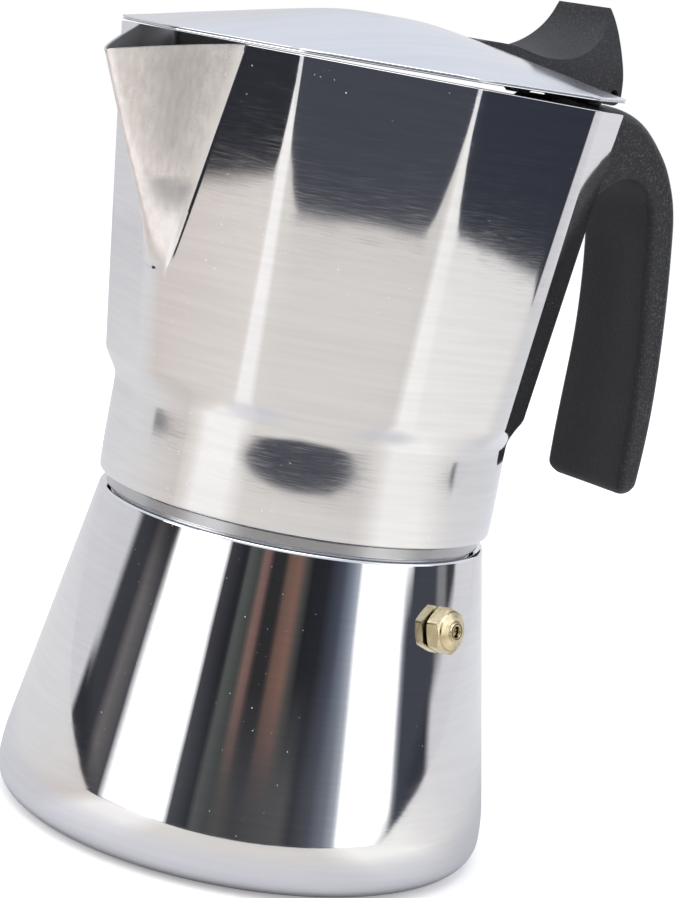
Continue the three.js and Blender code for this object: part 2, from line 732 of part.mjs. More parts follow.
// A pan-head screw under the lid: head below the sheet, shank up into the knob.
function knobScrew(x) {
  const share = x / LID_R;
  const sheetH = mix(LID_APEX + 1.4, LID_EDGE_H, share) + x * Math.sin(rad(LID_TILT));
  const top = sheetH - 3.4;
  const tip = sheetH + 0.1;
  const screw = turned([
    pt(0, top - 1.6),
    pt(2.6, top - 1.6),
    pt(3.4, top - 0.8),
    pt(3.4, top),
    pt(1.5, top),
    pt(1.5, tip),
    pt(0, tip),
  ], SMALL_SIDES);
  return screw.translate(x, 0, RIM_Z);
}

function addLid() {
  piece("lid", lidShell(), satin);
  piece("lid_knob", lidKnob(), plastic);
  KNOB_SCREWS.forEach((x, i) => piece("knob_screw_" + (i + 1), knobScrew(x), steel));
}

// ---------- assembly ----------

piece("boiler", boiler(), polished);
addValve();
addFunnel();
addSeals();
addCollector();
addHandle();
addLid();

export default pot;
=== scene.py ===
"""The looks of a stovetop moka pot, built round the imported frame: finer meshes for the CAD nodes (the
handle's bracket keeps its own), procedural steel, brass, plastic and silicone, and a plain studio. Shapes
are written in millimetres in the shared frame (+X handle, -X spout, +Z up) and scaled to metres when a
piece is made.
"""

import math

import bmesh
import bpy
from mathutils import Matrix, Vector


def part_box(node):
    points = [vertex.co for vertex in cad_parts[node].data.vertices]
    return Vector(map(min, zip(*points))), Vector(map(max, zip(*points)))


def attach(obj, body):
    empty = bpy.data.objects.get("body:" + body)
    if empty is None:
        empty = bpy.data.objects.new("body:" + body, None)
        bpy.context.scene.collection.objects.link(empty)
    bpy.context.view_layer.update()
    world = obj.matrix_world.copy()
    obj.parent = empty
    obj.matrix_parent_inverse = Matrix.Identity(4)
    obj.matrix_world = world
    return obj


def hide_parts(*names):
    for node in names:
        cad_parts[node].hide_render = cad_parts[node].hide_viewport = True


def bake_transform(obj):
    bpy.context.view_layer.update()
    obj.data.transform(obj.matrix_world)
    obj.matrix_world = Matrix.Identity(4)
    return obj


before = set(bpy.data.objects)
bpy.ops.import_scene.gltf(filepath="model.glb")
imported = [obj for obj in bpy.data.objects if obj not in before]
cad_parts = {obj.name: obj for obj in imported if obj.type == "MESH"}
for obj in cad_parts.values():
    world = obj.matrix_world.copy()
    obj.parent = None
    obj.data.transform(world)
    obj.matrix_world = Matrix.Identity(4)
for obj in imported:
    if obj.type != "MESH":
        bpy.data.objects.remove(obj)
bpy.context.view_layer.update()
MM = 0.001


def edges_of(node):
    """Lowest and highest corner of a CAD node, in millimetres."""
    low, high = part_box(node)
    return low / MM, high / MM


# ---------- dimensions: the frame's own, and the ones that the boxes don't give ----------

collector_low, collector_high = edges_of("collector")
_, boiler_high = edges_of("boiler")
pin_low, pin_high = edges_of("hinge_pin")
column_low, column_high = edges_of("coffee_column")
floor_low, floor_high = edges_of("collector_floor")
ring_low, ring_high = edges_of("thread_ring")
basket_low, basket_high = edges_of("funnel_basket")
stem_low, stem_high = edges_of("funnel_stem")
gasket_low, gasket_high = edges_of("gasket")
plate_low, plate_high = edges_of("filter_plate")
sieve_low, sieve_high = edges_of("funnel_sieve")
cap_low, cap_high = edges_of("column_cap")
screw_low, screw_high = edges_of("handle_screw")

SHEET = 0.75                     # rolled steel of the collector
RIM_Z = collector_high.z
RIM_R = 60.0                     # to a corner of the decagon
SIDES = 10
STEP = 2 * math.pi / SIDES
HALF_STEP = STEP / 2
FACET_BOTTOM_Z = 109.0
FACET_BOTTOM_R = 51.6
NECK_Z = 101.5
BAND_Z = collector_low.z
NECK_WAIST_Z = 93.0
NECK_WAIST_R = 47.4
NECK_FLARE = 0.00030             # how fast the wall leans outwards away from the waist, per mm squared
NECK_LEAN = 0.0105               # how far it leans inwards at the waist itself
CREASE_TOP = 7.5                 # rounding of the decagon's upright edges at the rim
CREASE_BOTTOM = 16.0             # and at the neck
THREAD_START = BAND_Z + 1.2
RING_BORE = 43.6                 # root of the female thread
FLOOR_HOLE = 6.2                 # radius of the floor's hole, round the coffee column
SPOUT_TIP_R = -collector_low.x
SPOUT_TIP_DROP = 6.6
SPOUT_APEX_DROP = 51.5
APEX_Z = RIM_Z - SPOUT_APEX_DROP
SPOUT_ROOT_HALF = 20.6
SPOUT_FOLD_HALF = 5.2
SPOUT_NOSE = 1.6

SHOULDER_Z = 76.2
SHOULDER_R = 46.6
BASE_R = 61.3                    # the cone carried down to the ground
BASE_CORNER = 5.6                # rounding of the base's edge
BEND_Z = 14.0                    # the cone starts to turn upright here
CONE_SLOPE = (BASE_R - SHOULDER_R) / SHOULDER_Z
COLLAR_R = 45.0
THROAT_R = 42.2
THROAT_BORE = 40.2
THROAT_TOP = boiler_high.z
THREAD_PITCH = 5.0
THREAD_DEPTH = 0.85
COLLAR_DULL_SHADE = 0.6            # the groove's ring: rougher steel than the cone, with painted shade
BOILER_WALL = 1.5

LID_R = 59.7
LID_EDGE_TOP = 2.5               # above the rim, before the tilt
LID_SLOPE = 0.2065
LID_CROWN = 11.3                 # how far out the apex is rounded
LID_SHEET = 0.55
LID_BLEND = 16.0
LID_CORNER_CUT = 0.0018          # share of the radius that a corner's rounding takes off
LID_CORNER_REACH = 0.08          # and how far round it reaches, in radians
LID_TILT = math.radians(1.4)
LID_PIVOT_H = 1.8
HINGE_X = (pin_low.x + pin_high.x) / 2
HINGE_H = (pin_low.z + pin_high.z) / 2 - RIM_Z
PIN_R = (pin_high.z - pin_low.z) / 2
EAR_HALF = 8.0                   # the handle's ear, which the pin goes through
EAR_ROUND = 2.6
CHEEK_ROUND = 2.55               # the knob's cheeks, on both sides of the ear
CHEEK_GAP = 0.35
SCREW_X = (screw_low.x + screw_high.x) / 2
SCREW_HEAD_R = 3.3
HANDLE_HALF = 12.5
KNOB_HALF = 14.0
KNOB_TAPER = 0.0223              # narrower by this share for each mm up
KNOB_TAPER_H = 9.0               # above the rim
KNOB_TAPER_BLEND = 1.2
KNOB_SLEEKNESS = 0.6             # the knob's grain is finer than the handle's

VALVE_Z = 61.3
VALVE_ANGLE = math.radians(-80)
VALVE_SEAT = -2.95               # along the valve's axis from the boiler's outer wall
CAP_LOW, CAP_HIGH = 0.35, 3.9    # the hexagon's faces, along the same axis
CAP_BORE = 3.7
CAP_CORNER = 5.6                 # from the axis to a corner of the hexagon
CAP_CHAMFER = 0.6
CAP_TURN = math.radians(22)

CAMERA_AZIMUTH = math.radians(-39.84)
TOWARDS = Vector((math.sin(CAMERA_AZIMUTH), -math.cos(CAMERA_AZIMUTH), 0))   # from the pot to the camera
RIGHT = Vector((math.cos(CAMERA_AZIMUTH), math.sin(CAMERA_AZIMUTH), 0))      # as the camera sees it
UP = Vector((0, 0, 1))
FLOOR_R = 6.0                    # metres
FLOOR_Z = -0.0006                # just under the pot
SWEEP_Z = -0.0003                # between the two


# ---------- small helpers ----------

def clamp01(v):
    return max(0.0, min(1.0, v))


def smooth(v):
    v = clamp01(v)
    return v * v * (3 - 2 * v)


def mix(a, b, t):
    return a + (b - a) * t


def round_angles(count):
    return [2 * math.pi * k / count for k in range(count)]


def polar(r, angle, z):
    return (r * math.cos(angle), r * math.sin(angle), z)


def arc(cx, cy, r, start, end, steps):
    """Points of a circular arc, angles in degrees, both ends included."""
    angles = [math.radians(mix(start, end, i / steps)) for i in range(steps + 1)]
    return [(cx + r * math.cos(a), cy + r * math.sin(a)) for a in angles]


def bezier(p0, p1, p2, p3, steps):
    """Points along a cubic curve, without the first one."""
    points = []
    for i in range(1, steps + 1):
        t = i / steps
        weights = ((1 - t) ** 3, 3 * t * (1 - t) ** 2, 3 * t * t * (1 - t), t ** 3)
        points.append(tuple(sum(w * p[k] for w, p in zip(weights, (p0, p1, p2, p3))) for k in (0, 1)))
    return points


def through(keys, steps):
    """A smooth curve through key points of any dimension (Catmull-Rom)."""
    padded = [keys[0]] + list(keys) + [keys[-1]]
    points = []
    for a, b, c, d in zip(padded, padded[1:], padded[2:], padded[3:]):
        for i in range(steps):
            t = i / steps
            points.append(tuple(
                0.5 * (2 * q + (r - p) * t + (2 * p - 5 * q + 4 * r - s) * t * t
                       + (3 * q - p - 3 * r + s) * t ** 3)
                for p, q, r, s in zip(a, b, c, d)))
    points.append(tuple(keys[-1]))
    return points


def softened(points, closed=True):
    """Rounds each corner that is given as (x, y, radius)."""
    steps = 4
    out = []
    count = len(points)
    for i, p in enumerate(points):
        if len(p) == 2 or (not closed and i in (0, count - 1)):
            out.append((p[0], p[1]))
            continue
        here = Vector(p[:2])
        before = Vector(points[i - 1][:2]) - here
        after = Vector(points[(i + 1) % count][:2]) - here
        inwards = (before.normalized() + after.normalized()).normalized()
        half_angle = before.angle(after) / 2
        reach = min(p[2] / math.tan(half_angle), 0.45 * before.length, 0.45 * after.length)
        radius = reach * math.tan(half_angle)
        centre = here + inwards * (radius / math.sin(half_angle))
        start = here + before.normalized() * reach - centre
        end = here + after.normalized() * reach - centre
        turn = math.atan2(start.x * end.y - start.y * end.x, start.dot(end))
        for k in range(steps + 1):
            a = turn * k / steps
            out.append((centre.x + start.x * math.cos(a) - start.y * math.sin(a),
                        centre.y + start.x * math.sin(a) + start.y * math.cos(a)))
    return out


# ---------- mesh building ----------

def mesh_of(name, verts, faces):
    """A mesh in metres from points in millimetres."""
    mesh = bpy.data.meshes.new(name)
    mesh.from_pydata([Vector(v) * MM for v in verts], [], faces)
    mesh.validate()
    return mesh


def face_outwards(mesh):
    bm = bmesh.new()
    bm.from_mesh(mesh)
    bmesh.ops.remove_doubles(bm, verts=bm.verts, dist=1e-7)
    bmesh.ops.recalc_face_normals(bm, faces=bm.faces)
    if bm.calc_volume(signed=True) < 0:
        bmesh.ops.reverse_faces(bm, faces=bm.faces)
    bm.to_mesh(mesh)
    bm.free()


def object_of(name, mesh):
    made = bpy.data.objects.new(name, mesh)
    bpy.context.scene.collection.objects.link(made)
    return made


def skinned(name, rings, closed_loop=False):
    return object_of(name, mesh_of(name, *skin(rings, closed_loop)))


def painted(mesh, name, value_of):
    """Writes a number at each point for the materials to read; value_of(index, x, y, z) gives it."""
    attribute = mesh.attributes.new(name, "FLOAT", "POINT")
    for v in mesh.vertices:
        attribute.data[v.index].value = value_of(v.index, *(v.co / MM))


def finished(made, material, body, *nodes):
    """Shades a piece, puts it on its body and lets it stand for its CAD nodes."""
    face_outwards(made.data)
    made.data.materials.clear()
    made.data.materials.append(material)
    for polygon in made.data.polygons:
        polygon.use_smooth = True
    made.data.set_sharp_from_angle(angle=math.radians(50))
    normals = made.modifiers.new("normals", "WEIGHTED_NORMAL")
    normals.keep_sharp = True
    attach(made, body)
    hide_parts(*nodes)
    return made


def skin(rings, closed_loop=False):
    """Quads between rings of the same number of points; open ends are capped."""
    count = len(rings[0])
    verts = [p for ring in rings for p in ring]
    faces = []
    pairs = [(i, i + 1) for i in range(len(rings) - 1)]
    if closed_loop:
        pairs.append((len(rings) - 1, 0))
    for i, j in pairs:
        for k in range(count):
            n = (k + 1) % count
            faces.append((i * count + k, i * count + n, j * count + n, j * count + k))
    if not closed_loop:
        faces.append(tuple(reversed(range(count))))
        faces.append(tuple(range((len(rings) - 1) * count, len(rings) * count)))
    return verts, faces


def revolved(profile, segments, shift):
    """A turned body about +Z. A profile that starts and ends on the axis is closed there, any
    other profile is a closed loop. shift(angle, r, z) may move a point outwards."""
    on_axis = profile[0][0] == 0 and profile[-1][0] == 0
    inner = profile[1:-1] if on_axis else profile
    rings = [[polar(r + (shift(a, r, z) if shift else 0), a, z) for a in round_angles(segments)]
             for r, z in inner]
    if not on_axis:
        return skin(rings, closed_loop=True)
    verts, faces = skin(rings)
    faces = faces[:-2]
    for pole, row in ((profile[0], 0), (profile[-1], len(rings) - 1)):
        verts.append((0, 0, pole[1]))
        start = row * segments
        for k in range(segments):
            faces.append((len(verts) - 1, start + k, start + (k + 1) % segments))
    return verts, faces


def turned(name, profile, segments=160, shift=None):
    return object_of(name, mesh_of(name, *revolved(profile, segments, shift)))


def prism(name, outline, half, edge, levels=(), width_at=None):
    """An outline in XZ extruded to both sides of Y = 0, cut at levels, then scaled across by
    width_at(z) and rounded along its side edges."""
    bm = bmesh.new()
    sides = [[bm.verts.new((x * MM, y * MM, z * MM)) for x, z in outline] for y in (-half, half)]
    bm.faces.new(sides[0])
    bm.faces.new(reversed(sides[1]))
    count = len(outline)
    for k in range(count):
        n = (k + 1) % count
        bm.faces.new((sides[0][k], sides[1][k], sides[1][n], sides[0][n]))
    bmesh.ops.recalc_face_normals(bm, faces=bm.faces)
    for level in levels:
        geometry = bm.verts[:] + bm.edges[:] + bm.faces[:]
        bmesh.ops.bisect_plane(bm, geom=geometry, plane_co=(0, 0, level * MM), plane_no=(0, 0, 1))
    rim = [e for e in bm.edges if len(e.link_faces) == 2
           and abs(abs(e.verts[0].co.y) - half * MM) < 1e-7
           and abs(e.verts[0].co.y - e.verts[1].co.y) < 1e-7
           and e.calc_face_angle(0) > math.radians(45)]
    bmesh.ops.bevel(bm, geom=rim, offset=edge * MM, segments=4, profile=0.5, affect="EDGES",
                    clamp_overlap=True)
    if width_at:
        for v in bm.verts:
            v.co.y *= width_at(v.co.z / MM)
    mesh = bpy.data.meshes.new(name)
    bm.to_mesh(mesh)
    bm.free()
    return object_of(name, mesh)


def block(low, high):
    corners = [(x, y, z) for x in (low[0], high[0]) for y in (low[1], high[1]) for z in (low[2], high[2])]
    faces = [(0, 1, 3, 2), (4, 6, 7, 5), (0, 4, 5, 1), (2, 3, 7, 6), (0, 2, 6, 4), (1, 5, 7, 3)]
    return object_of("cutter", mesh_of("cutter", corners, faces))


def rod(radius, start, end):
    """A round bar between two points, to cut a bore with."""
    start, end = Vector(start), Vector(end)
    turn = (end - start).to_track_quat("Z", "Y").to_matrix().to_4x4()
    length = (end - start).length
    made = turned("cutter", [(0, 0), (radius, 0), (radius, length), (0, length)], 48)
    made.data.transform(Matrix.Translation(start * MM) @ turn)
    return made


def carve(made, operation, *tools):
    """Joins or cuts solids for good and removes the tools."""
    for tool in tools:
        face_outwards(tool.data)
        face_outwards(made.data)
        modifier = made.modifiers.new("carve", "BOOLEAN")
        modifier.operation = operation
        modifier.solver = "EXACT"
        modifier.object = tool
        bpy.context.view_layer.update()
        evaluated = made.evaluated_get(bpy.context.evaluated_depsgraph_get())
        mesh = bpy.data.meshes.new_from_object(evaluated)
        made.modifiers.clear()
        made.data = mesh
        bpy.data.objects.remove(tool)
    return made


# ---------- materials ----------

class Nodes:
    """A node tree, with short calls for the nodes used here."""

    def __init__(self, tree):
        self.tree = tree

    def node(self, kind, **settings):
        made = self.tree.nodes.new(kind)
        for key, value in settings.items():
            setattr(made, key, value)
        return made

    def link(self, source, target):
        self.tree.links.new(source, target)

    def put(self, target, value):
        if hasattr(value, "is_output"):
            self.link(value, target)
        else:
            target.default_value = value

    def math(self, operation, *values, clamp=False):
        made = self.node("ShaderNodeMath", operation=operation, use_clamp=clamp)
        for target, value in zip(made.inputs, values):
            self.put(target, value)
        return made.outputs[0]

    def blend(self, share, a, b):
        made = self.node("ShaderNodeMix", data_type="RGBA")
        self.put(made.inputs["Factor"], share)
        for name, value in zip(("A", "B"), (a, b)):
            self.put(made.inputs[name], (*value, 1) if isinstance(value, tuple) else value)
        return made.outputs["Result"]

    def along(self, place, axis):
        made = self.node("ShaderNodeVectorMath", operation="DOT_PRODUCT")
        self.link(place, made.inputs[0])
        made.inputs[1].default_value = axis
        return made.outputs["Value"]

    def compass(self, place):
        """Where a place lies round the horizon: 0 to 1 from behind, 0.5 towards the camera."""
        azimuth = self.math("ARCTAN2", self.along(place, RIGHT), self.along(place, TOWARDS))
        return self.math("MULTIPLY_ADD", azimuth, 1 / (2 * math.pi), 0.5)

    def ramp(self, turn, stops):
        """Colours round the horizon, from stops of (degrees right of the camera, colour)."""
        made = self.node("ShaderNodeValToRGB")
        elements = made.color_ramp.elements
        elements.remove(elements[1])
        for i, (degrees, color) in enumerate(stops):
            element = elements[0] if i == 0 else elements.new(degrees / 360 + 0.5)
            element.position = degrees / 360 + 0.5
            element.color = (*color, 1)
        self.link(turn, made.inputs["Fac"])
        return made.outputs["Color"]


class Shader(Nodes):
    """A material and its node tree."""

    def __init__(self, name):
        self.material = bpy.data.materials.new(name)
        self.material.use_nodes = True
        super().__init__(self.material.node_tree)
        self.surface = self.tree.nodes["Principled BSDF"]
        self.place = self.node("ShaderNodeTexCoord").outputs["Object"]

    def attribute(self, name):
        return self.node("ShaderNodeAttribute", attribute_name=name).outputs["Fac"]

    def scaled(self, x, y, z, place=None):
        made = self.node("ShaderNodeVectorMath", operation="MULTIPLY")
        self.link(place or self.place, made.inputs[0])
        made.inputs[1].default_value = (x, y, z)
        return made.outputs[0]

    def noise(self, place, scale=1.0, detail=3.0, roughness=0.5):
        made = self.node("ShaderNodeTexNoise")
        self.link(place, made.inputs["Vector"])
        made.inputs["Scale"].default_value = scale
        made.inputs["Detail"].default_value = detail
        made.inputs["Roughness"].default_value = roughness
        return made.outputs["Fac"]

    def ranged(self, value, low, high, to_low=0.0, to_high=1.0):
        made = self.node("ShaderNodeMapRange")
        self.link(value, made.inputs["Value"])
        for name, number in zip(("From Min", "From Max", "To Min", "To Max"), (low, high, to_low, to_high)):
            made.inputs[name].default_value = number
        return made.outputs["Result"]

    def blend_value(self, share, a, b):
        made = self.node("ShaderNodeMix", data_type="FLOAT")
        for name, value in zip(("Factor", "A", "B"), (share, a, b)):
            self.put(made.inputs[name], value)
        return made.outputs["Result"]

    def bump(self, height, strength, distance, below=None):
        made = self.node("ShaderNodeBump")
        self.put(made.inputs["Strength"], strength)
        made.inputs["Distance"].default_value = distance
        self.link(height, made.inputs["Height"])
        if below is not None:
            self.link(below, made.inputs["Normal"])
        return made.outputs["Normal"]

    def set(self, **inputs):
        for name, value in inputs.items():
            self.put(self.surface.inputs[name.replace("_", " ")], value)


def polar_place(shader):
    """Coordinates that follow a turned surface: radius, angle and height."""
    split = shader.node("ShaderNodeSeparateXYZ")
    shader.link(shader.place, split.inputs[0])
    x, y, z = split.outputs
    squares = [shader.math("POWER", side, 2.0) for side in (x, y)]
    radius = shader.math("SQRT", shader.math("ADD", *squares))
    angle = shader.math("ARCTAN2", y, x)
    joined = shader.node("ShaderNodeCombineXYZ")
    for target, value in zip(joined.inputs, (radius, angle, z)):
        shader.link(value, target)
    return joined.outputs[0]


DULL_ROUGHNESS = 0.42            # inside the vessels, and partly on the boiler's collar
# a painted dark colour: shade inside the vessels and on the collar, dark reflections on the spout's sides
PAINTED_DARK_STEEL = (0.38, 0.38, 0.39)


def pressed_and_painted_dark(shader, tone, rough, normal, satin):
    """Two kinds of duller steel: the spout's pressed sides, and rougher steel with a painted dark colour,
    which is painted shade inside the vessels and on the boiler's collar and painted dark reflections on the
    spout's sides.
    """
    mask, inside = shader.attribute("satin"), shader.attribute("inside")
    cloud = shader.noise(shader.place, 90.0, 4.0, 0.6)
    rough = shader.blend_value(mask, rough, shader.ranged(cloud, 0.3, 0.7, satin, satin + 0.1))
    rough = shader.blend_value(inside, rough, DULL_ROUGHNESS)
    drawn = shader.noise(shader.scaled(800.0, 800.0, 150.0), 1.0, 3.0, 0.6)
    warm = shader.blend(shader.ranged(drawn, 0.3, 0.7), (0.95, 0.91, 0.895), (0.78, 0.735, 0.72))
    # darker where 'inside' is set: painted shade and painted dark reflections
    tone = shader.blend(inside, shader.blend(mask, tone, warm), PAINTED_DARK_STEEL)
    pressed = shader.noise(shader.scaled(180.0, 180.0, 420.0), 1.0, 3.0, 0.55)
    normal = shader.bump(pressed, shader.math("MULTIPLY", mask, 0.35), 0.00012, normal)
    return tone, rough, normal


def dusted(shader, threshold):
    """How metallic the surface is, with a speck of dust wherever fine noise passes a threshold."""
    dust = shader.ranged(shader.noise(shader.place, 1300.0, 2.0, 0.5), threshold, threshold + 0.02)
    places = shader.ranged(shader.noise(shader.place, 40.0, 2.0, 0.5), 0.5, 0.56)
    spots = shader.math("MULTIPLY", dust, places)
    return shader.math("SUBTRACT", 1.0, shader.math("MULTIPLY", spots, 0.85))


def brushed_steel(name, color, dark, roughness, lines, stretch, anisotropy,
                  satin=None, dust=None, scatter=0.03):
    """Rolled stainless steel: fine lines, soft smudges, and on the vessels a few specks."""
    shader = Shader(name)
    fine = shader.noise(shader.scaled(*stretch), 1.0, 2.0, 0.6)
    broad = shader.noise(shader.scaled(stretch[0] * 0.25, stretch[1] * 0.25, stretch[2] * 0.12))
    smudge = shader.noise(shader.place, 22.0, 4.0, 0.55)
    tone = shader.blend(shader.ranged(broad, 0.35, 0.65), color, dark)
    worn = shader.ranged(smudge, 0.35, 0.7, *roughness)
    rough = shader.math("ADD", worn, shader.ranged(fine, 0.5, 0.75, 0.0, scatter))
    ripple = shader.bump(shader.noise(shader.place, 45.0, 2.0, 0.5), 0.05, 0.0006)
    normal = shader.bump(fine, lines, 0.00006, ripple)
    if satin is not None:
        tone, rough, normal = pressed_and_painted_dark(shader, tone, rough, normal, satin)
    metal = 1.0 if dust is None else dusted(shader, dust)
    tangent = shader.node("ShaderNodeTangent", direction_type="RADIAL", axis="Z")
    shader.set(Base_Color=tone, Metallic=metal, Roughness=rough, Anisotropic=anisotropy,
               Anisotropic_Rotation=0.25, Normal=normal, Tangent=tangent.outputs[0])
    return shader.material


def turned_metal(name, color, dark, roughness, rings, depth=0.35):
    """Metal with the fine rings of a lathe about the object's own Z axis."""
    shader = Shader(name)
    polar = polar_place(shader)
    groove = shader.noise(shader.scaled(rings, 1.2, rings, polar), 1.0, 2.0, 0.6)
    stain = shader.noise(shader.place, 260.0, 4.0, 0.6)
    tone = shader.blend(shader.ranged(stain, 0.35, 0.72), color, dark)
    rough = shader.ranged(stain, 0.3, 0.7, *roughness)
    shader.set(Base_Color=tone, Metallic=1.0, Roughness=rough, Normal=shader.bump(groove, depth, 0.00008))
    return shader.material


def black_plastic():
    """Charcoal moulded plastic with a pebbled grain, its glints painted on as pale flecks, which fade where
    the piece is sleek.
    """
    shader = Shader("black_plastic")
    grain = shader.noise(shader.place, 2800.0, 3.0, 0.6)
    pebble = shader.noise(shader.place, 1700.0, 2.0, 0.5)
    cloud = shader.noise(shader.place, 35.0, 4.0, 0.55)
    sleek = shader.attribute("sleek")
    speck = shader.ranged(pebble, 0.54, 0.66)
    pebbled = shader.math("SUBTRACT", 1.0, shader.math("MULTIPLY", sleek, 0.8))
    pebbles_and_glints = shader.math("MULTIPLY", speck, pebbled)
    base = shader.blend(cloud, (0.008, 0.008, 0.010), (0.014, 0.014, 0.017))
    # pale flecks on the pebbles: painted glints of the grain
    tone = shader.blend(shader.math("MULTIPLY", pebbles_and_glints, 0.5), base, (0.11, 0.11, 0.115))
    height = shader.math("ADD", shader.math("MULTIPLY", grain, 0.5), pebble)
    rough = shader.blend_value(sleek, shader.ranged(cloud, 0.3, 0.7, 0.38, 0.46), 0.6)
    rough = shader.math("ADD", rough, shader.math("MULTIPLY", pebbles_and_glints, 0.1))
    shader.set(Base_Color=tone, Roughness=rough, Specular_IOR_Level=0.5,
               Normal=shader.bump(height, 0.8, 0.00022))
    return shader.material


def silicone():
    shader = Shader("white_silicone")
    cloud = shader.noise(shader.place, 120.0, 4.0, 0.5)
    dust = shader.noise(shader.place, 1500.0, 2.0, 0.6)
    shader.set(Base_Color=shader.blend(cloud, (0.80, 0.78, 0.73), (0.70, 0.67, 0.60)),
               Roughness=shader.ranged(dust, 0.3, 0.7, 0.5, 0.68),
               Normal=shader.bump(dust, 0.3, 0.0001), Subsurface_Weight=0.1)
    return shader.material


SIDE_LINES = (150.0, 150.0, 7000.0)     # brushing that runs round the pot, per metre
jug_steel = brushed_steel("jug_steel", (0.87, 0.865, 0.87), (0.82, 0.815, 0.825), (0.03, 0.05), 0.005,
                          SIDE_LINES, 0.75, satin=0.2, dust=0.73, scatter=0.06)
boiler_steel = brushed_steel("boiler_steel", (0.88, 0.88, 0.89), (0.84, 0.84, 0.855), (0.02, 0.035), 0.005,
                             SIDE_LINES, 0.8, satin=0.3, dust=0.755)
lid_steel = brushed_steel("lid_steel", (0.86, 0.87, 0.89), (0.82, 0.83, 0.85), (0.16, 0.22), 0.06,
                          (30.0, 900.0, 900.0), 0.3)
inner_steel = turned_metal("inner_steel", (0.74, 0.73, 0.71), (0.62, 0.61, 0.59), (0.22, 0.34), 1500.0,
                           depth=0.08)
fastener_steel = turned_metal("fastener_steel", (0.66, 0.66, 0.67), (0.50, 0.50, 0.51), (0.2, 0.36), 2500.0)
brass = turned_metal("valve_brass", (0.76, 0.66, 0.43), (0.50, 0.40, 0.23), (0.12, 0.26), 3600.0)
plastic = black_plastic()
rubber = silicone()


# ---------- boiler ----------

def thread_shift(root, depth, low, high, start):
    """A rolled thread: how far a turned wall stands out at an angle and a height."""
    def shift(angle, r, z):
        if abs(r - root) > 0.05 or not low < z < high:
            return 0
        phase = (z - start - THREAD_PITCH * angle / (2 * math.pi)) / THREAD_PITCH
        wave = max(0.0, math.cos(2 * math.pi * phase)) ** 1.5
        return depth * wave * smooth((z - low) / 1.5) * smooth((high - z) / 1.5)
    return shift


def make_boiler():
    slant = math.hypot(1, CONE_SLOPE)
    cone_angle = math.degrees(math.atan(CONE_SLOPE))
    bend_r = (BEND_Z - BASE_CORNER) * slant / CONE_SLOPE
    widest = BASE_R - CONE_SLOPE * BEND_Z + bend_r * (1 - 1 / slant)
    round_x = widest - BASE_CORNER

    def inner(z):
        return BASE_R - CONE_SLOPE * z - BOILER_WALL * slant

    low, high = BAND_Z + 0.6, THROAT_TOP - 0.8
    wall = [(THROAT_R, mix(low, high, i / 48)) for i in range(49)]
    profile = [
        # the underside, the base's edge and the bend into the cone
        (0, 0.6), (round_x - 12, 0.6), (round_x - 10, 0),
        *arc(round_x, BASE_CORNER, BASE_CORNER, -90, 0, 16),
        *arc(widest - bend_r, BASE_CORNER, bend_r, 0, cone_angle, 16)[1:],
        # the cone, the shoulder, the collar and the thread
        *softened([(BASE_R - CONE_SLOPE * 20, 20), (SHOULDER_R, SHOULDER_Z, 1.1),
                   (COLLAR_R, SHOULDER_Z + 0.45, 0.3), (COLLAR_R, BAND_Z - 0.5, 0.3),
                   (THROAT_R, BAND_Z - 0.4, 0.2), (THROAT_R, low)], closed=False),
        *wall[1:],
        # the inside
        *softened([(THROAT_R, high), (THROAT_R, THROAT_TOP, 0.5), (THROAT_BORE, THROAT_TOP, 0.5),
                   (THROAT_BORE, SHOULDER_Z, 1.5), (inner(SHOULDER_Z - 4), SHOULDER_Z - 4, 2),
                   (inner(BEND_Z), BEND_Z, 3), (round_x - 2, 3, 2)], closed=False),
        (0, 3),
    ]
    shift = thread_shift(THROAT_R, THREAD_DEPTH, low, high, THREAD_START)
    shell = turned("boiler_shell", profile, 224, shift)
    # painted shade, with rougher steel, on the groove's ring
    painted(shell.data, "inside", lambda _, x, y, z: COLLAR_DULL_SHADE if z > SHOULDER_Z + 0.4 else 0)
    finished(shell, boiler_steel, "boiler", "boiler")


# ---------- safety valve: built along its own Z axis, 0 at the boiler's outer wall ----------

def valve_frame():
    r = BASE_R - CONE_SLOPE * VALVE_Z
    out = Vector((math.cos(VALVE_ANGLE), math.sin(VALVE_ANGLE), CONE_SLOPE)).normalized()
    place = Vector((r * math.cos(VALVE_ANGLE), r * math.sin(VALVE_ANGLE), VALVE_Z))
    return Matrix.Translation(place * MM) @ out.to_track_quat("Z", "Y").to_matrix().to_4x4()


def hexagon(name, crown):
    """The cap's hexagon with turned chamfers; crown carries its top inwards as (radius, height)."""
    flat = CAP_CORNER * math.cos(math.pi / 6)
    land = flat - 0.25

    def side(a):
        return flat / math.cos((a + CAP_TURN) % (math.pi / 3) - math.pi / 6)

    def drop(r):
        return CAP_CHAMFER * max(0.0, r - land)

    def ring(radius_of, height_of):
        return [polar(radius_of(a), a, height_of(radius_of(a))) for a in round_angles(120)]

    rings = [
        ring(lambda a: CAP_BORE, lambda r: CAP_LOW),
        ring(lambda a: land, lambda r: CAP_LOW),
        ring(side, lambda r: CAP_LOW + drop(r) * 0.6),
        ring(side, lambda r: CAP_LOW + drop(r) * 0.6 + 0.05),
        ring(side, lambda r: CAP_HIGH - drop(r) - 0.05),
        ring(side, lambda r: CAP_HIGH - drop(r)),
        ring(lambda a: land, lambda r: CAP_HIGH),
    ]
    rings += [ring(lambda a, r=r: r, lambda _, z=z: z) for r, z in crown]
    return skinned(name, rings, closed_loop=True)


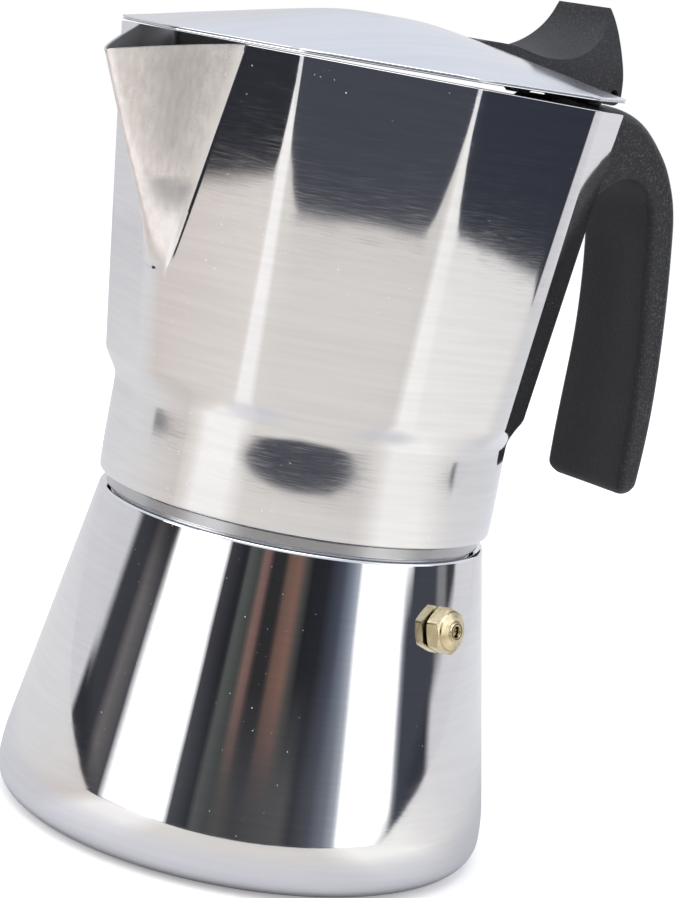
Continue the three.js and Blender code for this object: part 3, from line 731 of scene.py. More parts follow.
def make_valve():
    place = valve_frame()
    seat = VALVE_SEAT
    crown = softened([(4.55, CAP_HIGH), (4.35, 4.25, 0.25), (3.3, 4.6, 0.4), (2.55, 4.95, 0.3),
                      (2.2, 5.0, 0.1), (2.2, 5.45, 0.2), (1.3, 5.45, 0.15), (1.3, 3.45, 0.1),
                      (CAP_BORE, 3.45, 0.1), (CAP_BORE, CAP_LOW)], closed=False)
    body = softened([(1.4, -4.4, .2), (6.2, -4.4, .3), (6.2, -2.9, .2), (3.4, -2.9), (3.4, 3.15),
                     (3.0, 3.15), (3.0, seat), (1.4, seat)])
    seal = softened([(4.15, -2.7), (6.0, -2.7, .2), (6.0, -1.95, .2), (4.15, -1.95)])
    tail = softened([(0.95, seat + 7.0), (0.95, seat + 7.6, 0.35), (0, seat + 7.6)], closed=False)
    plunger = [(0, seat - 0.9), (0.6, seat - 0.9), (1.0, seat + 0.1), (2.4, seat + 0.4), (2.4, seat + 1.2),
               (0.95, seat + 1.4), *tail]
    pieces = [
        (turned("valve_stub", body, 48), brass, "boiler", "valve_body"),
        (turned("valve_seal", seal, 64), rubber, "boiler", "valve_gasket"),
        (hexagon("valve_crown", crown), brass, "boiler", "valve_cap"),
        (turned("valve_pin", plunger, 40), brass, "plunger", "valve_plunger"),
    ]
    for made, material, rides_on, node in pieces:
        made.matrix_world = place
        finished(made, material, rides_on, node)
    add_spring(place)


def add_spring(place):
    radius, wire, turns, low, high = 1.9, 0.22, 4, VALVE_SEAT + 1.9, VALVE_SEAT + 5.9
    steps = turns * 28
    rings = []
    for i in range(steps + 1):
        t = i / steps
        a = 2 * math.pi * turns * t
        middle, out = Vector(polar(radius, a, mix(low, high, t))), Vector(polar(1, a, 0))
        rings.append([middle + out * wire * math.cos(b) + UP * wire * math.sin(b)
                      for b in round_angles(10)])
    made = skinned("valve_coil", rings)
    made.matrix_world = place
    made.data.materials.append(fastener_steel)
    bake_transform(made)
    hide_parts("valve_spring")


# ---------- funnel, gasket and plates ----------

SIEVE_HOLE = 0.75


def sieve(name, low, high, spacing):
    """A thin round plate with a honeycomb of small holes, between the corners of its CAD box."""
    radius, middle = high.x, (low.z + high.z) / 2
    curve = bpy.data.curves.new(name, "CURVE")
    curve.dimensions = "2D"
    curve.fill_mode = "BOTH"
    curve.extrude = (high.z - low.z) / 2 * MM

    def circle(cx, cy, r, count):
        spline = curve.splines.new("POLY")
        spline.points.add(count - 1)
        for point, a in zip(spline.points, round_angles(count)):
            point.co = ((cx + r * math.cos(a)) * MM, (cy + r * math.sin(a)) * MM, 0, 1)
        spline.use_cyclic_u = True

    circle(0, 0, radius, 128)
    reach = int(radius / spacing) + 1
    for row in range(-reach, reach + 1):
        for column in range(-reach, reach + 1):
            x = (column + 0.5 * (row % 2)) * spacing
            y = row * spacing * math.sqrt(0.75)
            if math.hypot(x, y) < radius - 1.2 * spacing - SIEVE_HOLE:
                circle(x, y, SIEVE_HOLE, 12)
    flat = bpy.data.objects.new(name, curve)
    bpy.context.scene.collection.objects.link(flat)
    mesh = bpy.data.meshes.new_from_object(flat.evaluated_get(bpy.context.evaluated_depsgraph_get()))
    bpy.data.objects.remove(flat)
    mesh.name = name
    for v in mesh.vertices:
        v.co.z += middle * MM
    return object_of(name, mesh)


def make_funnel():
    top, lip_r = basket_high.z, basket_high.x
    wall, outer, sleeve = 0.7, 33.0, stem_high.x + 0.15
    basket = softened([
        (sleeve, basket_low.z), (sleeve + wall, basket_low.z, .2), (sleeve + wall, stem_high.z + 1, 2),
        (outer, 74.5, 2), (outer, top - 0.8, 1.2), (lip_r, top - 0.8, .3), (lip_r, top, .3),
        (outer - wall, top, 1.5), (outer - wall, 75.4, 1.6), (sleeve, stem_high.z + 2, 1)])
    finished(turned("funnel_cup", basket), inner_steel, "funnel", "funnel_basket")
    strainer = sieve("funnel_strainer", sieve_low, sieve_high, 3.2)
    finished(strainer, inner_steel, "funnel", "funnel_sieve")
    tube = softened([(stem_high.x - 0.8, stem_low.z, .3), (stem_high.x, stem_low.z, .3),
                     (stem_high.x, stem_high.z), (stem_high.x - 0.8, stem_high.z)])
    finished(turned("funnel_tube", tube, 64), inner_steel, "funnel", "funnel_stem")


def make_seals():
    bore, edge, low, high = 33.5, gasket_high.x, gasket_low.z, gasket_high.z
    seal = softened([(bore, low, .5), (edge, low, .5), (edge, high, .5), (bore, high, .5)])
    finished(turned("seal_ring", seal), rubber, "seals", "gasket")
    plate = sieve("filter_disc", plate_low, plate_high, 3.4)
    finished(plate, inner_steel, "seals", "filter_plate")


# ---------- collector ----------

def corner_r(z):
    return mix(FACET_BOTTOM_R, RIM_R, (z - FACET_BOTTOM_Z) / (RIM_Z - FACET_BOTTOM_Z))


def crease_r(z):
    """The rounding of the decagon's upright edges, wider towards the neck."""
    return mix(CREASE_TOP, CREASE_BOTTOM, clamp01((RIM_Z - z) / (RIM_Z - FACET_BOTTOM_Z)) ** 1.2)


def decagon_r(angle, z):
    """Radius of the rounded decagon at an angle from one of its corners."""
    inradius = corner_r(z) * math.cos(HALF_STEP)
    crease = crease_r(z)
    psi = abs((angle + HALF_STEP) % STEP - HALF_STEP)
    centre = (inradius - crease) / math.cos(HALF_STEP)
    tangent = HALF_STEP - math.atan((inradius - crease) * math.tan(HALF_STEP) / inradius)
    if psi < tangent:
        return centre * math.cos(psi) + math.sqrt(crease ** 2 - (centre * math.sin(psi)) ** 2)
    return inradius / math.cos(HALF_STEP - psi)


def neck_r(z):
    """The neck widens upwards, but for a short stretch about its waist where it narrows a little."""
    away = z - NECK_WAIST_Z
    return NECK_WAIST_R + NECK_FLARE * away ** 3 / 3 - NECK_LEAN * away


def plain_r(angle, z):
    share = smooth((FACET_BOTTOM_Z - z) / (FACET_BOTTOM_Z - NECK_Z))
    return mix(decagon_r(angle, max(z, FACET_BOTTOM_Z)), neck_r(z), share)


def fold_half(z):
    return mix(SPOUT_FOLD_HALF, SPOUT_ROOT_HALF, clamp01((z - APEX_Z) / SPOUT_APEX_DROP))


def keel_r(z):
    s = clamp01((z - APEX_Z) / (SPOUT_APEX_DROP - SPOUT_TIP_DROP))
    bulge = SPOUT_TIP_R - corner_r(RIM_Z - SPOUT_TIP_DROP)
    return corner_r(z) + bulge * s * (1 - math.exp(-4.5 * s)) / (1 - math.exp(-4.5))


SPOUT_POINTS = 30
ROOT_GROOVE = 0.15               # depth of the pressed line along the spout's root
SPOUT_SIDE_X = -40.0             # nothing beyond this belongs to the spout
DENT_DEPTH, DENT_HALF = 0.22, 3.0           # where the fold of the spout runs out
# How the angles between two corners are shared out: closer together at the creases.
CREASE_SHARES = [0.5 + 0.5 * math.copysign(abs(u) ** 0.55, u) for u in (i / 12 - 1 for i in range(1, 25))]


def half_outline(z, rise):
    """Points (x, y, drop) from the spout's keel round to the handle's corner, the spout along +X."""
    half = fold_half(z)
    root_r = corner_r(max(z, FACET_BOTTOM_Z)) - half * math.tan(HALF_STEP)
    root_angle = math.atan2(half, root_r)
    folded = smooth((z - APEX_Z + 3) / 9)
    keel = keel_r(z - SPOUT_TIP_DROP * rise)

    def nose(t):
        return math.hypot(t, SPOUT_NOSE) - SPOUT_NOSE

    points = []
    for i in range(SPOUT_POINTS + 1):
        share = 0.5 - 0.5 * math.cos(math.pi * i / SPOUT_POINTS)
        t = half * share
        angle = root_angle * share
        plain = plain_r(angle, z)
        fold_x = keel - (keel - root_r) * nose(t) / nose(half)
        fold_x -= ROOT_GROOVE * math.exp(-((half - t) / 0.5) ** 2)
        x = mix(plain * math.cos(angle), fold_x, folded)
        y = mix(plain * math.sin(angle), t, folded)
        drop = SPOUT_TIP_DROP * (1 - share) ** 1.1 * rise
        points.append((x, y, drop))
    for k in range(SIDES // 2):
        start = root_angle if k == 0 else k * STEP
        for share in CREASE_SHARES:
            angle = mix(start, (k + 1) * STEP, share)
            r = plain_r(angle, z)
            points.append((r * math.cos(angle), r * math.sin(angle), 0))
    return points


def painted_flank_reflection(y, z):
    """Painted dark reflections, with rougher steel, up the middle of each side of the spout and near its
    lower point.
    """
    across = abs(y) / fold_half(z)
    depth = RIM_Z - z
    middle = math.exp(-((across - 0.58) / 0.24) ** 2) * smooth(depth / 5) * (1 - smooth((depth - 23) / 8))
    point = smooth((depth - 30.5) / 2) * (1 - smooth((depth - 33) / 9)) * smooth((across - 0.1) / 0.4)
    return 0.35 * middle + 0.65 * point


def dimple(y, z):
    """A small pressed dent just above the spout's lower point."""
    return -DENT_DEPTH * math.exp(-(y / DENT_HALF) ** 2 - (z - APEX_Z - 0.6) ** 2)


def collector_ring(z, grow, lift=0):
    rise = clamp01((z - APEX_Z) / SPOUT_APEX_DROP)
    half = []
    for x, y, drop in half_outline(z, rise):
        radius = math.hypot(x, y)
        height = z - drop
        dent = dimple(y, height) if x > 0 else 0
        scale = (radius + grow + dent) / radius
        half.append((-x * scale, -y * scale, height + lift))
    return half + [(x, -y, height) for x, y, height in reversed(half[1:-1])]


def make_collector():
    def rows(low, high, step):
        count = max(1, round((high - low) / step))
        return [mix(low, high, i / count) for i in range(count)]

    heights = [*rows(BAND_Z + 1.4, NECK_Z, 1.5), *rows(NECK_Z, FACET_BOTTOM_Z, 0.5),
               *rows(FACET_BOTTOM_Z, APEX_Z - 4, 2.5), *rows(APEX_Z - 4, APEX_Z + 14, 0.5),
               *rows(APEX_Z + 14, RIM_Z - 0.2, 1.6)]
    outer = [collector_ring(BAND_Z + z, grow) for z, grow in
             ((0.6, -SHEET), (0.15, -SHEET), (0, -SHEET + 0.15), (0, -0.35), (0.15, -0.1), (0.5, 0))]
    outer += [collector_ring(z, 0) for z in heights]
    outer += [collector_ring(RIM_Z, grow, lift) for grow, lift in ((0, -0.22), (-0.06, -0.06), (-0.22, 0))]
    inner = [collector_ring(RIM_Z, grow - SHEET, lift) for grow, lift in
             ((0.22, 0), (0.06, -0.06), (0, -0.22))]
    inner += [collector_ring(z, -SHEET) for z in reversed(heights[1::2])]
    jug = skinned("jug", outer + inner, closed_loop=True)
    outer_count = len(outer) * len(outer[0])

    def pressed(_, x, y, z):
        """1 on the spout's folded sides, fading to 0 at their borders."""
        if x > SPOUT_SIDE_X or z < APEX_Z:
            return 0
        return smooth((fold_half(z) + 0.5 - abs(y)) / 2.5) * smooth((z - APEX_Z) / 6)

    # rougher steel with painted dark reflections on the spout's sides, and with painted shade all over the
    # inside
    def dull_and_painted_dark(index, x, y, z):
        return pressed(index, x, y, z) * painted_flank_reflection(y, z) if index < outer_count else 1

    painted(jug.data, "satin", pressed)
    painted(jug.data, "inside", dull_and_painted_dark)
    finished(jug, jug_steel, "collector", "collector")


def make_collector_insides():
    outer, foot, top = ring_high.x, ring_low.z, ring_high.z
    low, high = foot + 0.4, top - 0.4
    rim = softened([(outer, foot), (outer, top), (RING_BORE, top, 0.3), (RING_BORE, high)], closed=False)
    wall = [(RING_BORE, mix(high, low, i / 60)) for i in range(1, 61)]
    sleeve = [*rim, *wall, (RING_BORE, foot)]
    shift = thread_shift(RING_BORE, -THREAD_DEPTH, low, high, THREAD_START + THREAD_PITCH / 2)
    finished(turned("thread_sleeve", sleeve, 192, shift), inner_steel, "collector", "thread_ring")

    base, edge = floor_low.z, floor_high.x
    dish = softened([
        (FLOOR_HOLE, base + 2, .2), (16, base + 2, 3), (22, base, 3), (edge, base),
        (edge, base + 1), (22.5, base + 1, 3), (16.5, base + 3, 3), (FLOOR_HOLE, base + 3, .2)])
    finished(turned("jug_floor", dish), inner_steel, "collector", "collector_floor")

    top, foot = column_high.z, column_low.z
    flange = floor_high.z + 0.1
    column = softened([
        (5, foot), (6, foot), (6, flange, .1), (11, flange, .3), (11, flange + 1, .4),
        (8, flange + 2, 2), (6, flange + 7, 3), (5.4, top, .3), (4.4, top, .3), (5, flange + 7)])
    finished(turned("brew_column", column, 96), inner_steel, "collector", "coffee_column")

    cap_base, crown = cap_low.z, cap_high.z
    dome = softened([(4.8, crown - 1.0, 2), (7.3, crown - 4, 2), (7.3, cap_base, .3), (6.3, cap_base, .3),
                     (6.3, crown - 4.4, 1.5), (4, crown - 1.9, 1.5)], closed=False)
    cap = [(0, crown), *dome, (0, crown - 1)]
    hood = turned("column_hood", cap, 96)
    carve(hood, "DIFFERENCE", block((-3, -10, top + 0.5), (3, 10, top + 4)))
    finished(hood, inner_steel, "collector", "column_cap")


# ---------- handle ----------

# Stations down the handle as (outer x, outer h, inner x, inner h), h measured from the rim.
HANDLE_STATIONS = [
    (54, 1.1, 54, -28.5), (64, 1.15, 62, -27.0), (73, 1.15, 68.8, -21.3), (82, -1.7, 74, -17.5),
    (90.9, -8.8, 79.5, -15.8), (96, -16, 84.2, -16.9), (99, -23, 88.4, -21.5), (100.9, -31, 91.2, -33),
    (103.2, -45, 93.4, -46), (104.4, -60, 95.2, -60), (104.7, -75, 96.0, -75), (104.3, -88, 96.4, -88),
    (104.0, -93.8, 96.6, -93.8),
]
INNER_POINTS = 9                 # across the dished inner face of one section
HANDLE_FLARE = 0.14              # wider by this share at the lower end
FLARE_START, FLARE_LENGTH = 38.0, 50.0      # below the rim
DISH_START, DISH_LENGTH = 24.0, 12.0        # where the inner face becomes hollow, below the rim
ROOT_X = 66.0                    # the fine grain starts here and is full ROOT_FADE further out
ROOT_FADE = 4.0
HANDLE_END_ROUND = 3.4
# (advance along the handle, inset all round) over its rounded end
HANDLE_TIP = [(r * math.sin(a), r * (1 - math.cos(a))) for r, a in
              ((HANDLE_END_ROUND, math.radians(k)) for k in (0, 15, 30, 45, 60, 72, 82))]


def handle_section(outer, inner, width, inset, dish):
    """A rounded oblong across the handle with a dished inner face, and how sleek each point is."""
    along = outer - inner
    depth = along.length - 2 * inset
    half = width - inset
    axis = along.normalized()
    start = inner + axis * inset
    r_in, r_out = min(2.0, depth / 2.2), min(3.0, depth / 2.2)
    profile = []
    for i in range(INNER_POINTS):
        u = mix(-1, 1, i / (INNER_POINTS - 1))
        profile.append((dish * (1 - u ** 2) ** 2, u * (half - r_in), 1.0))
    profile += [(r_in - r_in * math.cos(a), half - r_in + r_in * math.sin(a), 1.0 - i / 5)
                for i, a in enumerate(math.radians(18 * k) for k in range(1, 6))]
    profile += [(mix(r_in, depth - r_out, t), half, 0.0) for t in (0.25, 0.5, 0.75)]
    profile += [(depth - r_out + r_out * math.sin(a), half - r_out + r_out * math.cos(a), 0.0)
                for a in (math.radians(15 * k) for k in range(7))]
    profile += [(depth + 0.25 * (1 - (2 * t - 1) ** 2), mix(half - r_out, 0, t), 0.0) for t in (0.3, 0.6)]
    profile += [(a, -y, s) for a, y, s in reversed(profile[INNER_POINTS:])]
    ring = [(start.x + axis.x * a, y, RIM_Z + start.y + axis.y * a) for a, y, _ in profile]
    return ring, [s for _, _, s in profile]


def make_handle():
    stations = through(HANDLE_STATIONS, 7)
    sections = []
    for ox, oh, ix, ih in stations:
        width = HANDLE_HALF * (1 + HANDLE_FLARE * smooth((-oh - FLARE_START) / FLARE_LENGTH))
        dish = smooth((-ih - DISH_START) / DISH_LENGTH)
        sections.append(handle_section(Vector((ox, oh)), Vector((ix, ih)), width, 0, dish))
    ox, oh, ix, ih = stations[-1]
    width = HANDLE_HALF * (1 + HANDLE_FLARE)
    for advance, inset in HANDLE_TIP[1:]:
        outer, inner = Vector((ox - 0.1 * advance, oh - advance)), Vector((ix, ih - advance))
        sections.append(handle_section(outer, inner, width, inset, 1.0 - 0.3 * inset))
    grip = skinned("grip", [ring for ring, _ in sections])
    marks = [mark for _, ring_marks in sections for mark in ring_marks]
    painted(grip.data, "sleek", lambda i, x, y, z: marks[i] * smooth((x - ROOT_X) / ROOT_FADE))

    ear_foot = [(62.9, RIM_Z - 2), (68.0, RIM_Z - 2), (68.0, RIM_Z + HINGE_H)]
    ear_top = arc(HINGE_X, RIM_Z + HINGE_H, EAR_ROUND, 0, 180, 14)[1:]
    carve(grip, "UNION", prism("ear", ear_foot + ear_top, EAR_HALF, 0.5))
    bore = rod(SCREW_HEAD_R + 0.3, (SCREW_X, 0, RIM_Z - 30), (SCREW_X, 0, RIM_Z - 14.2))
    carve(grip, "DIFFERENCE", seat_cutter(0.08), bore)
    finished(grip, plastic, "collector", "handle")


def seat_cutter(gap):
    """The jug's outline without its spout, a gap wider, to cut what bears on it."""
    rings = []
    for z in (RIM_Z - 42, RIM_Z - 20, RIM_Z, RIM_Z + 12):
        rings.append([polar(decagon_r(a, min(z, RIM_Z)) + gap, a, z) for a in round_angles(240)])
    return skinned("cutter", rings)


def make_handle_fixings():
    radius, bottom, top = SCREW_HEAD_R, screw_low.z, screw_high.z
    head = [(radius - 0.2, bottom, .5), (radius, bottom + 2.6, .2), (1.8, bottom + 2.7)]
    shank = [(1.8, top - 0.6), (1.2, top)]
    screw = turned("grip_screw", [(0, bottom), *softened(head + shank, closed=False), (0, top)], 48)
    screw.data.transform(Matrix.Translation((SCREW_X * MM, 0, 0)))
    carve(screw, "DIFFERENCE", block((SCREW_X - 4, -0.5, bottom - 1), (SCREW_X + 4, 0.5, bottom + 1)))
    finished(screw, fastener_steel, "collector", "handle_screw")

    left, right, edge = pin_low.y, pin_high.y, 0.25
    bar = turned("hinge_rod", [(0, left), (PIN_R - edge, left), (PIN_R, left + edge),
                               (PIN_R, right - edge), (PIN_R - edge, right), (0, right)], 48)
    bar.data.transform(Matrix.Translation((HINGE_X * MM, 0, (RIM_Z + HINGE_H) * MM))
                       @ Matrix.Rotation(-math.pi / 2, 4, "X"))
    finished(bar, fastener_steel, "collector", "hinge_pin")
    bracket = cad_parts["handle_bracket"]
    bracket.data.materials.clear()
    bracket.data.materials.append(fastener_steel)


# ---------- lid ----------

def lid_height(r):
    return LID_EDGE_TOP + LID_SLOPE * (LID_R - (r ** 4 + LID_CROWN ** 4) ** 0.25)


def lid_tilted(point):
    x, y, z = point
    dz = z - RIM_Z - LID_PIVOT_H
    c, s = math.cos(LID_TILT), math.sin(LID_TILT)
    return (x * c - dz * s, y, RIM_Z + LID_PIVOT_H + x * s + dz * c)


def lid_ring(radius, height):
    """One ring of the lid: a decagon at the edge, which is a circle from LID_BLEND inwards on."""
    roundness = smooth((LID_R - radius) / LID_BLEND)
    circle = 1 - 0.02 * (1 - roundness)
    ring = []
    for a in round_angles(SIDES * 16):
        off = abs((a + HALF_STEP) % STEP - HALF_STEP)
        flat = math.cos(HALF_STEP) / math.cos(HALF_STEP - off)
        flat -= LID_CORNER_CUT * max(0.0, 1 - off / LID_CORNER_REACH)
        r = radius * mix(flat, circle, roundness)
        ring.append(lid_tilted(polar(r, a, RIM_Z + height)))
    return ring


# The rolled edge, as (outwards from the lid's edge, upwards from it).
LID_HEM = [(-0.5, 0.10), (-0.12, 0.0), (0.0, -0.18), (-0.06, -0.36), (-0.45, -0.44), (-0.5, -0.52),
           (-0.12, -0.58), (-0.06, -0.74), (-0.3, -0.9), (-2.6, -0.9), (-3.0, -0.7), (-3.1, -0.2)]


def make_lid():
    radii = [1.5, 3, 5, 8, 11, 14, 17, 21, 25, 30, 35, 40, 44, 48, 51, 54, 56.5, 58.3]
    top = [lid_ring(r, lid_height(r)) for r in radii]
    hem = [lid_ring(LID_R + dr, LID_EDGE_TOP + dz) for dr, dz in LID_HEM]
    under = [lid_ring(r, lid_height(r) - LID_SHEET) for r in reversed(radii[:-2])]
    rings = top + hem + under
    count, apex = len(rings[0]), lid_height(0)
    verts, faces = skin(rings)
    faces = faces[:-2]
    for row, height in ((0, apex), (len(rings) - 1, apex - LID_SHEET)):
        verts.append(lid_tilted((0, 0, RIM_Z + height)))
        faces += [(len(verts) - 1, row * count + k, row * count + (k + 1) % count) for k in range(count)]
    cover = object_of("lid_cover", mesh_of("lid_cover", verts, faces))
    finished(cover, lid_steel, "lid", "lid")


def below_lid(gap):
    """Everything from the lid's top down, as a solid that cuts the knob's underside."""
    radii = [2, 8, 14, 21, 30, 40, 48, 54, 58, LID_R]
    rings = [lid_ring(r, lid_height(r) + gap) for r in radii]
    rings.append(lid_ring(LID_R, -12))
    return skinned("cutter", rings)


def make_knob():
    z = RIM_Z
    outline = [(18, z + 6), (60.4, z + 1.95), (HINGE_X, z + 1.75)]
    outline += arc(HINGE_X, z + HINGE_H, CHEEK_ROUND, -72, 0, 8)
    # up the back, over the top edge, down the hollow front, and out along the lid
    outline += bezier(outline[-1], (67.4, z + 12), (66.9, z + 20), (63.5, z + 24.7), 18)
    outline += [(63.25, z + 24.95), (62.95, z + 24.95)]
    outline += bezier((62.75, z + 24.7), (62.3, z + 16), (53, z + 10), (41.5, z + 10), 26)
    outline += bezier(outline[-1], (36, z + 10), (34, z + 11.3), (28, z + 11.3), 10)
    outline += bezier(outline[-1], (24, z + 11.3), (21, z + 11.2), (18, z + 10.4), 8)

    def width(height):
        """Full width up to KNOB_TAPER_H above the rim, then narrower, with a soft change between."""
        above = (height - z - KNOB_TAPER_H) / KNOB_TAPER_BLEND
        return 1 - KNOB_TAPER * KNOB_TAPER_BLEND * math.log1p(math.exp(above))

    knob = prism("thumb_rest", outline, KNOB_HALF, 0.9, [z + 3 + 1.5 * k for k in range(15)], width)
    gap = EAR_HALF + CHEEK_GAP
    slot = block((61.3, -gap, z - 1), (72, gap, z + HINGE_H + 3.2))
    bore = rod(PIN_R + 0.12, (HINGE_X, -20, z + HINGE_H), (HINGE_X, 20, z + HINGE_H))
    carve(knob, "DIFFERENCE", below_lid(0.06), slot, bore)
    painted(knob.data, "sleek", lambda *_: KNOB_SLEEKNESS)
    finished(knob, plastic, "lid", "lid_knob")


def make_knob_screws():
    for node in ("knob_screw_1", "knob_screw_2"):
        low, high = edges_of(node)
        x, bottom, top = (low.x + high.x) / 2, low.z, high.z
        head = [(2.6, bottom, .4), (3.4, bottom + 0.8, .3), (3.4, bottom + 1.6, .1), (1.5, bottom + 1.6)]
        profile = [(0, bottom), *softened(head + [(1.5, top)], closed=False), (0, top)]
        screw = turned(node.replace("knob", "thumb"), profile, 48)
        screw.data.transform(Matrix.Translation((x * MM, 0, 0)))
        cross = [block((x - across, -along, bottom - 1), (x + across, along, bottom + 0.8))
                 for across, along in ((1.8, 0.35), (0.35, 1.8))]
        carve(screw, "DIFFERENCE", *cross)
        finished(screw, fastener_steel, "lid", node)


make_boiler()
make_valve()
make_funnel()
make_seals()
make_collector()
make_collector_insides()
make_handle()
make_handle_fixings()
make_lid()
make_knob()
make_knob_screws()


# ---------- studio ----------

def with_painted_foot_shadow(shader, color, foot):
    """A painted shadow round the foot of the pot: a colour that turns into another one towards the foot."""
    length = shader.node("ShaderNodeVectorMath", operation="LENGTH")
    shader.link(shader.place, length.inputs[0])
    away = shader.ranged(length.outputs["Value"], 0.06, 0.14)
    return shader.blend(away, foot, color)


def floor_material():
    """A pale backdrop sheet, bright enough to run out to white."""
    shader = Shader("studio_floor")
    cloud = shader.noise(shader.place, 3.0, 2.0, 0.5)
    pale = shader.blend(cloud, (0.90, 0.90, 0.90), (0.91, 0.91, 0.91))
    # darker towards the pot's foot: a painted contact shadow
    shader.set(Base_Color=with_painted_foot_shadow(shader, pale, (0.84, 0.84, 0.84)), Roughness=0.9,
               Specular_IOR_Level=0.1, Emission_Color=(1.0, 0.98, 0.96, 1.0), Emission_Strength=0.33)
    return shader.material


# What the table shows of the windows round it: (degrees right of the camera, colour).
SWEEP_TONES = [
    (-180, (0.64, 0.62, 0.60)), (-112, (0.63, 0.61, 0.59)), (-90, (0.60, 0.57, 0.53)),
    (-68, (0.55, 0.49, 0.44)), (-61, (0.65, 0.60, 0.54)), (-56, (0.80, 0.76, 0.71)),
    (-38, (0.80, 0.76, 0.71)), (-27, (0.62, 0.58, 0.52)), (34, (0.61, 0.57, 0.52)),
    (42, (0.72, 0.67, 0.61)), (50, (0.85, 0.82, 0.75)), (74, (0.85, 0.82, 0.75)),
    (86, (0.73, 0.69, 0.64)), (100, (0.66, 0.64, 0.61)), (150, (0.69, 0.68, 0.67)),
    (166, (0.81, 0.80, 0.77)), (180, (0.76, 0.75, 0.73)),
]


def sweep_material():
    shader = Shader("table_sweep")
    tones = shader.ramp(shader.compass(shader.place), SWEEP_TONES)
    # darker towards the pot's foot: a painted shadow in the table's reflection
    shader.set(Base_Color=with_painted_foot_shadow(shader, tones, (0.57, 0.56, 0.575)), Roughness=0.9,
               Specular_IOR_Level=0.1)
    return shader.material


def flat_sheet(name, corners, material):
    mesh = bpy.data.meshes.new(name)
    mesh.from_pydata(corners, [], [tuple(range(len(corners)))])
    made = object_of(name, mesh)
    made.data.materials.append(material)
    return made


def make_floor():
    rim = [polar(FLOOR_R, a, FLOOR_Z) for a in round_angles(64)]
    floor = flat_sheet("studio_floor", rim, floor_material())
    floor.visible_glossy = False
    # The table's paper sweep, which only the metal sees: (right, towards the camera) of its corners.
    edge = [(-0.635, 0.566), (0.76, 0.566), (0.695, 0.13), (0.62, -0.05), (0.62, -1.2), (-0.635, -1.2)]
    corners = [TOWARDS * y + RIGHT * x + UP * SWEEP_Z for x, y in edge]
    sweep = flat_sheet("table_sweep", corners, sweep_material())
    sweep.visible_camera = False
    sweep.visible_diffuse = False
    sweep.visible_shadow = False


# (name, metres right, towards the camera and up, side in metres, watts)
LIGHTS = [
    ("top_box", -0.15, 0.25, 1.5, 1.3, 11.0),
    ("left_box", -1.3, 0.7, 0.9, 0.9, 6.0),
    ("right_box", 1.3, 0.2, 0.9, 0.9, 1.5),
]


def make_lights():
    for name, x, y, z, size, power in LIGHTS:
        data = bpy.data.lights.new(name, "AREA")
        data.shape = "SQUARE"
        data.size = size
        data.energy = power
        lamp = object_of(name, data)
        lamp.location = RIGHT * x + TOWARDS * y + UP * z
        lamp.rotation_mode = "QUATERNION"
        aim = Vector((0, 0, 0.1)) - lamp.location
        lamp.rotation_quaternion = aim.to_track_quat("-Z", "Y")
        lamp.visible_camera = False


# The room round the table, as the polished metal shows it: (degrees right of the camera, colour).
WINDOW = (1.6, 1.6, 1.62)
ROOM_HIGH = [
    (-180, (0.70, 0.70, 0.73)), (-99, (0.72, 0.715, 0.75)), (-95, (0.035, 0.036, 0.044)),
    (-84, (0.014, 0.014, 0.018)), (-68, (0.022, 0.022, 0.026)), (-64, (0.055, 0.055, 0.06)),
    (-61.5, WINDOW), (-32, WINDOW), (-30, (0.06, 0.06, 0.07)), (-20, (0.018, 0.019, 0.023)),
    (-18, (0.10, 0.11, 0.105)), (-12, (0.06, 0.065, 0.062)), (-9.5, (0.23, 0.145, 0.13)),
    (-7, (0.19, 0.11, 0.10)), (-5, (0.03, 0.03, 0.033)), (2, (0.03, 0.03, 0.033)),
    (4.5, (0.16, 0.10, 0.08)), (10.5, (0.22, 0.125, 0.10)), (14, (0.08, 0.078, 0.075)),
    (18, (0.020, 0.021, 0.025)), (27, (0.024, 0.025, 0.032)), (36, (0.07, 0.08, 0.11)),
    (41.5, (0.22, 0.25, 0.31)), (45, (0.45, 0.48, 0.54)), (47.5, WINDOW), (79.5, WINDOW),
    (81.5, (0.045, 0.05, 0.06)), (103, (0.03, 0.03, 0.035)), (106, (0.24, 0.24, 0.25)),
    (110, (0.035, 0.035, 0.04)), (117, (0.05, 0.05, 0.055)), (120, (0.80, 0.80, 0.84)),
]
ROOM_LOW = [
    (-180, (0.70, 0.70, 0.73)), (-96, (0.68, 0.68, 0.70)), (-91, (0.05, 0.055, 0.065)),
    (-80, (0.05, 0.05, 0.06)), (-75, (0.16, 0.15, 0.15)), (-66, (0.08, 0.08, 0.09)),
    (-62, (1.3, 1.3, 1.32)), (-32, WINDOW), (-30, (0.08, 0.085, 0.095)), (-21, (0.036, 0.038, 0.046)),
    (-18.5, (0.10, 0.108, 0.105)), (-13, (0.07, 0.075, 0.075)), (-8, (0.09, 0.085, 0.085)),
    (-1, (0.06, 0.062, 0.068)), (6, (0.075, 0.075, 0.08)), (12, (0.085, 0.084, 0.088)),
    (20, (0.095, 0.095, 0.10)), (25, (0.045, 0.048, 0.056)), (34, (0.085, 0.09, 0.11)),
    (41, (0.18, 0.20, 0.24)), (46, (0.42, 0.45, 0.50)), (48.5, WINDOW), (73, WINDOW),
    (76, (0.35, 0.36, 0.40)), (78, (0.06, 0.065, 0.08)), (98, (0.06, 0.065, 0.08)),
    (101, (0.24, 0.24, 0.25)), (106, (0.24, 0.24, 0.25)), (109, (0.05, 0.05, 0.055)),
    (115, (0.06, 0.06, 0.065)), (118, (0.70, 0.70, 0.73)), (180, (0.78, 0.78, 0.82)),
]
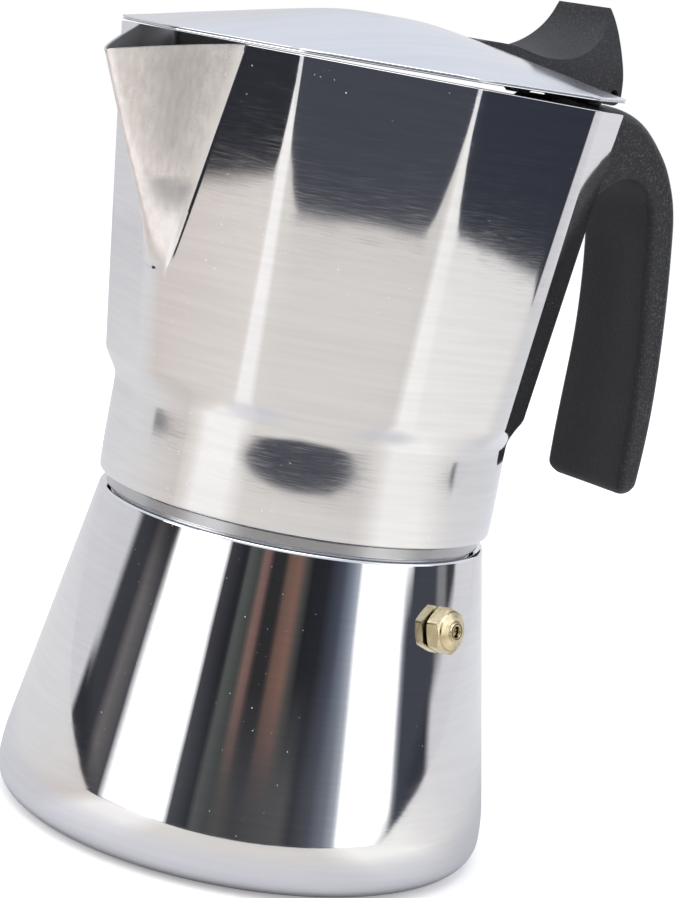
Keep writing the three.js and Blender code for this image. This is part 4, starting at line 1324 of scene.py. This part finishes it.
ROOM_BELOW = [
    (-180, (0.70, 0.70, 0.73)), (-98, (0.69, 0.69, 0.72)), (-95, (0.03, 0.032, 0.04)),
    (-51, (0.028, 0.03, 0.038)), (-49, (0.82, 0.83, 0.86)), (-38, (0.86, 0.87, 0.90)),
    (-36, (0.065, 0.07, 0.09)), (20, (0.065, 0.07, 0.09)), (45, (0.06, 0.068, 0.09)),
    (52, (0.80, 0.81, 0.85)), (63, (0.84, 0.85, 0.88)), (65, (0.06, 0.068, 0.09)),
    (86, (0.035, 0.04, 0.055)), (95, (0.04, 0.042, 0.05)),
    (99, (0.70, 0.69, 0.72)), (180, (0.76, 0.76, 0.80)),
]
ROOM_ABOVE = (0.75, 0.79, 0.875)


def make_room():
    world = bpy.data.worlds.new("room")
    bpy.context.scene.world = world
    world.use_nodes = True
    room = Nodes(world.node_tree)
    direction = room.node("ShaderNodeTexCoord").outputs["Generated"]
    turn = room.compass(direction)
    elevation = room.math("MULTIPLY", room.math("ARCSINE", room.along(direction, UP)), 180 / math.pi)

    def between(low, high):
        """0 below the first elevation and 1 above the second, in degrees."""
        return room.math("MULTIPLY_ADD", elevation, 1 / (high - low), -low / (high - low), clamp=True)

    below, low, high = (room.ramp(turn, stops) for stops in (ROOM_BELOW, ROOM_LOW, ROOM_HIGH))
    shown = room.blend(between(-1.5, -0.5), below, low)
    shown = room.blend(between(3.5, 6.5), shown, high)
    shown = room.blend(between(12, 26), shown, ROOM_ABOVE)
    by_camera = room.node("ShaderNodeLightPath").outputs["Is Camera Ray"]
    background = room.tree.nodes["Background"]
    room.put(background.inputs["Color"], room.blend(by_camera, shown, (1.0, 1.0, 1.0)))


CAMERA_DISTANCE = 0.5507         # metres, level with the ground
CAMERA_HEIGHT = 0.18376
CAMERA_LENS = 93.4076            # millimetres, for a sensor of SENSOR
SENSOR = 36.0
YAW, PITCH, ROLL = math.radians(0.88), math.radians(9.36), math.radians(10.74)


def make_camera():
    level = RIGHT * math.sin(YAW) - TOWARDS * math.cos(YAW)
    side = RIGHT * math.cos(YAW) + TOWARDS * math.sin(YAW)
    forward = level * math.cos(PITCH) - UP * math.sin(PITCH)
    top = side.cross(forward)
    right = side * math.cos(ROLL) + top * math.sin(ROLL)
    up = top * math.cos(ROLL) - side * math.sin(ROLL)
    data = bpy.data.cameras.new("camera")
    data.lens = CAMERA_LENS
    data.sensor_width = SENSOR
    camera = object_of("camera", data)
    place = TOWARDS * CAMERA_DISTANCE + UP * CAMERA_HEIGHT
    axes = Matrix((right, up, -forward)).transposed().to_4x4()
    camera.matrix_world = Matrix.Translation(place) @ axes
    bpy.context.scene.camera = camera


make_floor()
make_lights()
make_room()
make_camera()
bpy.context.scene.view_settings.view_transform = "Standard"
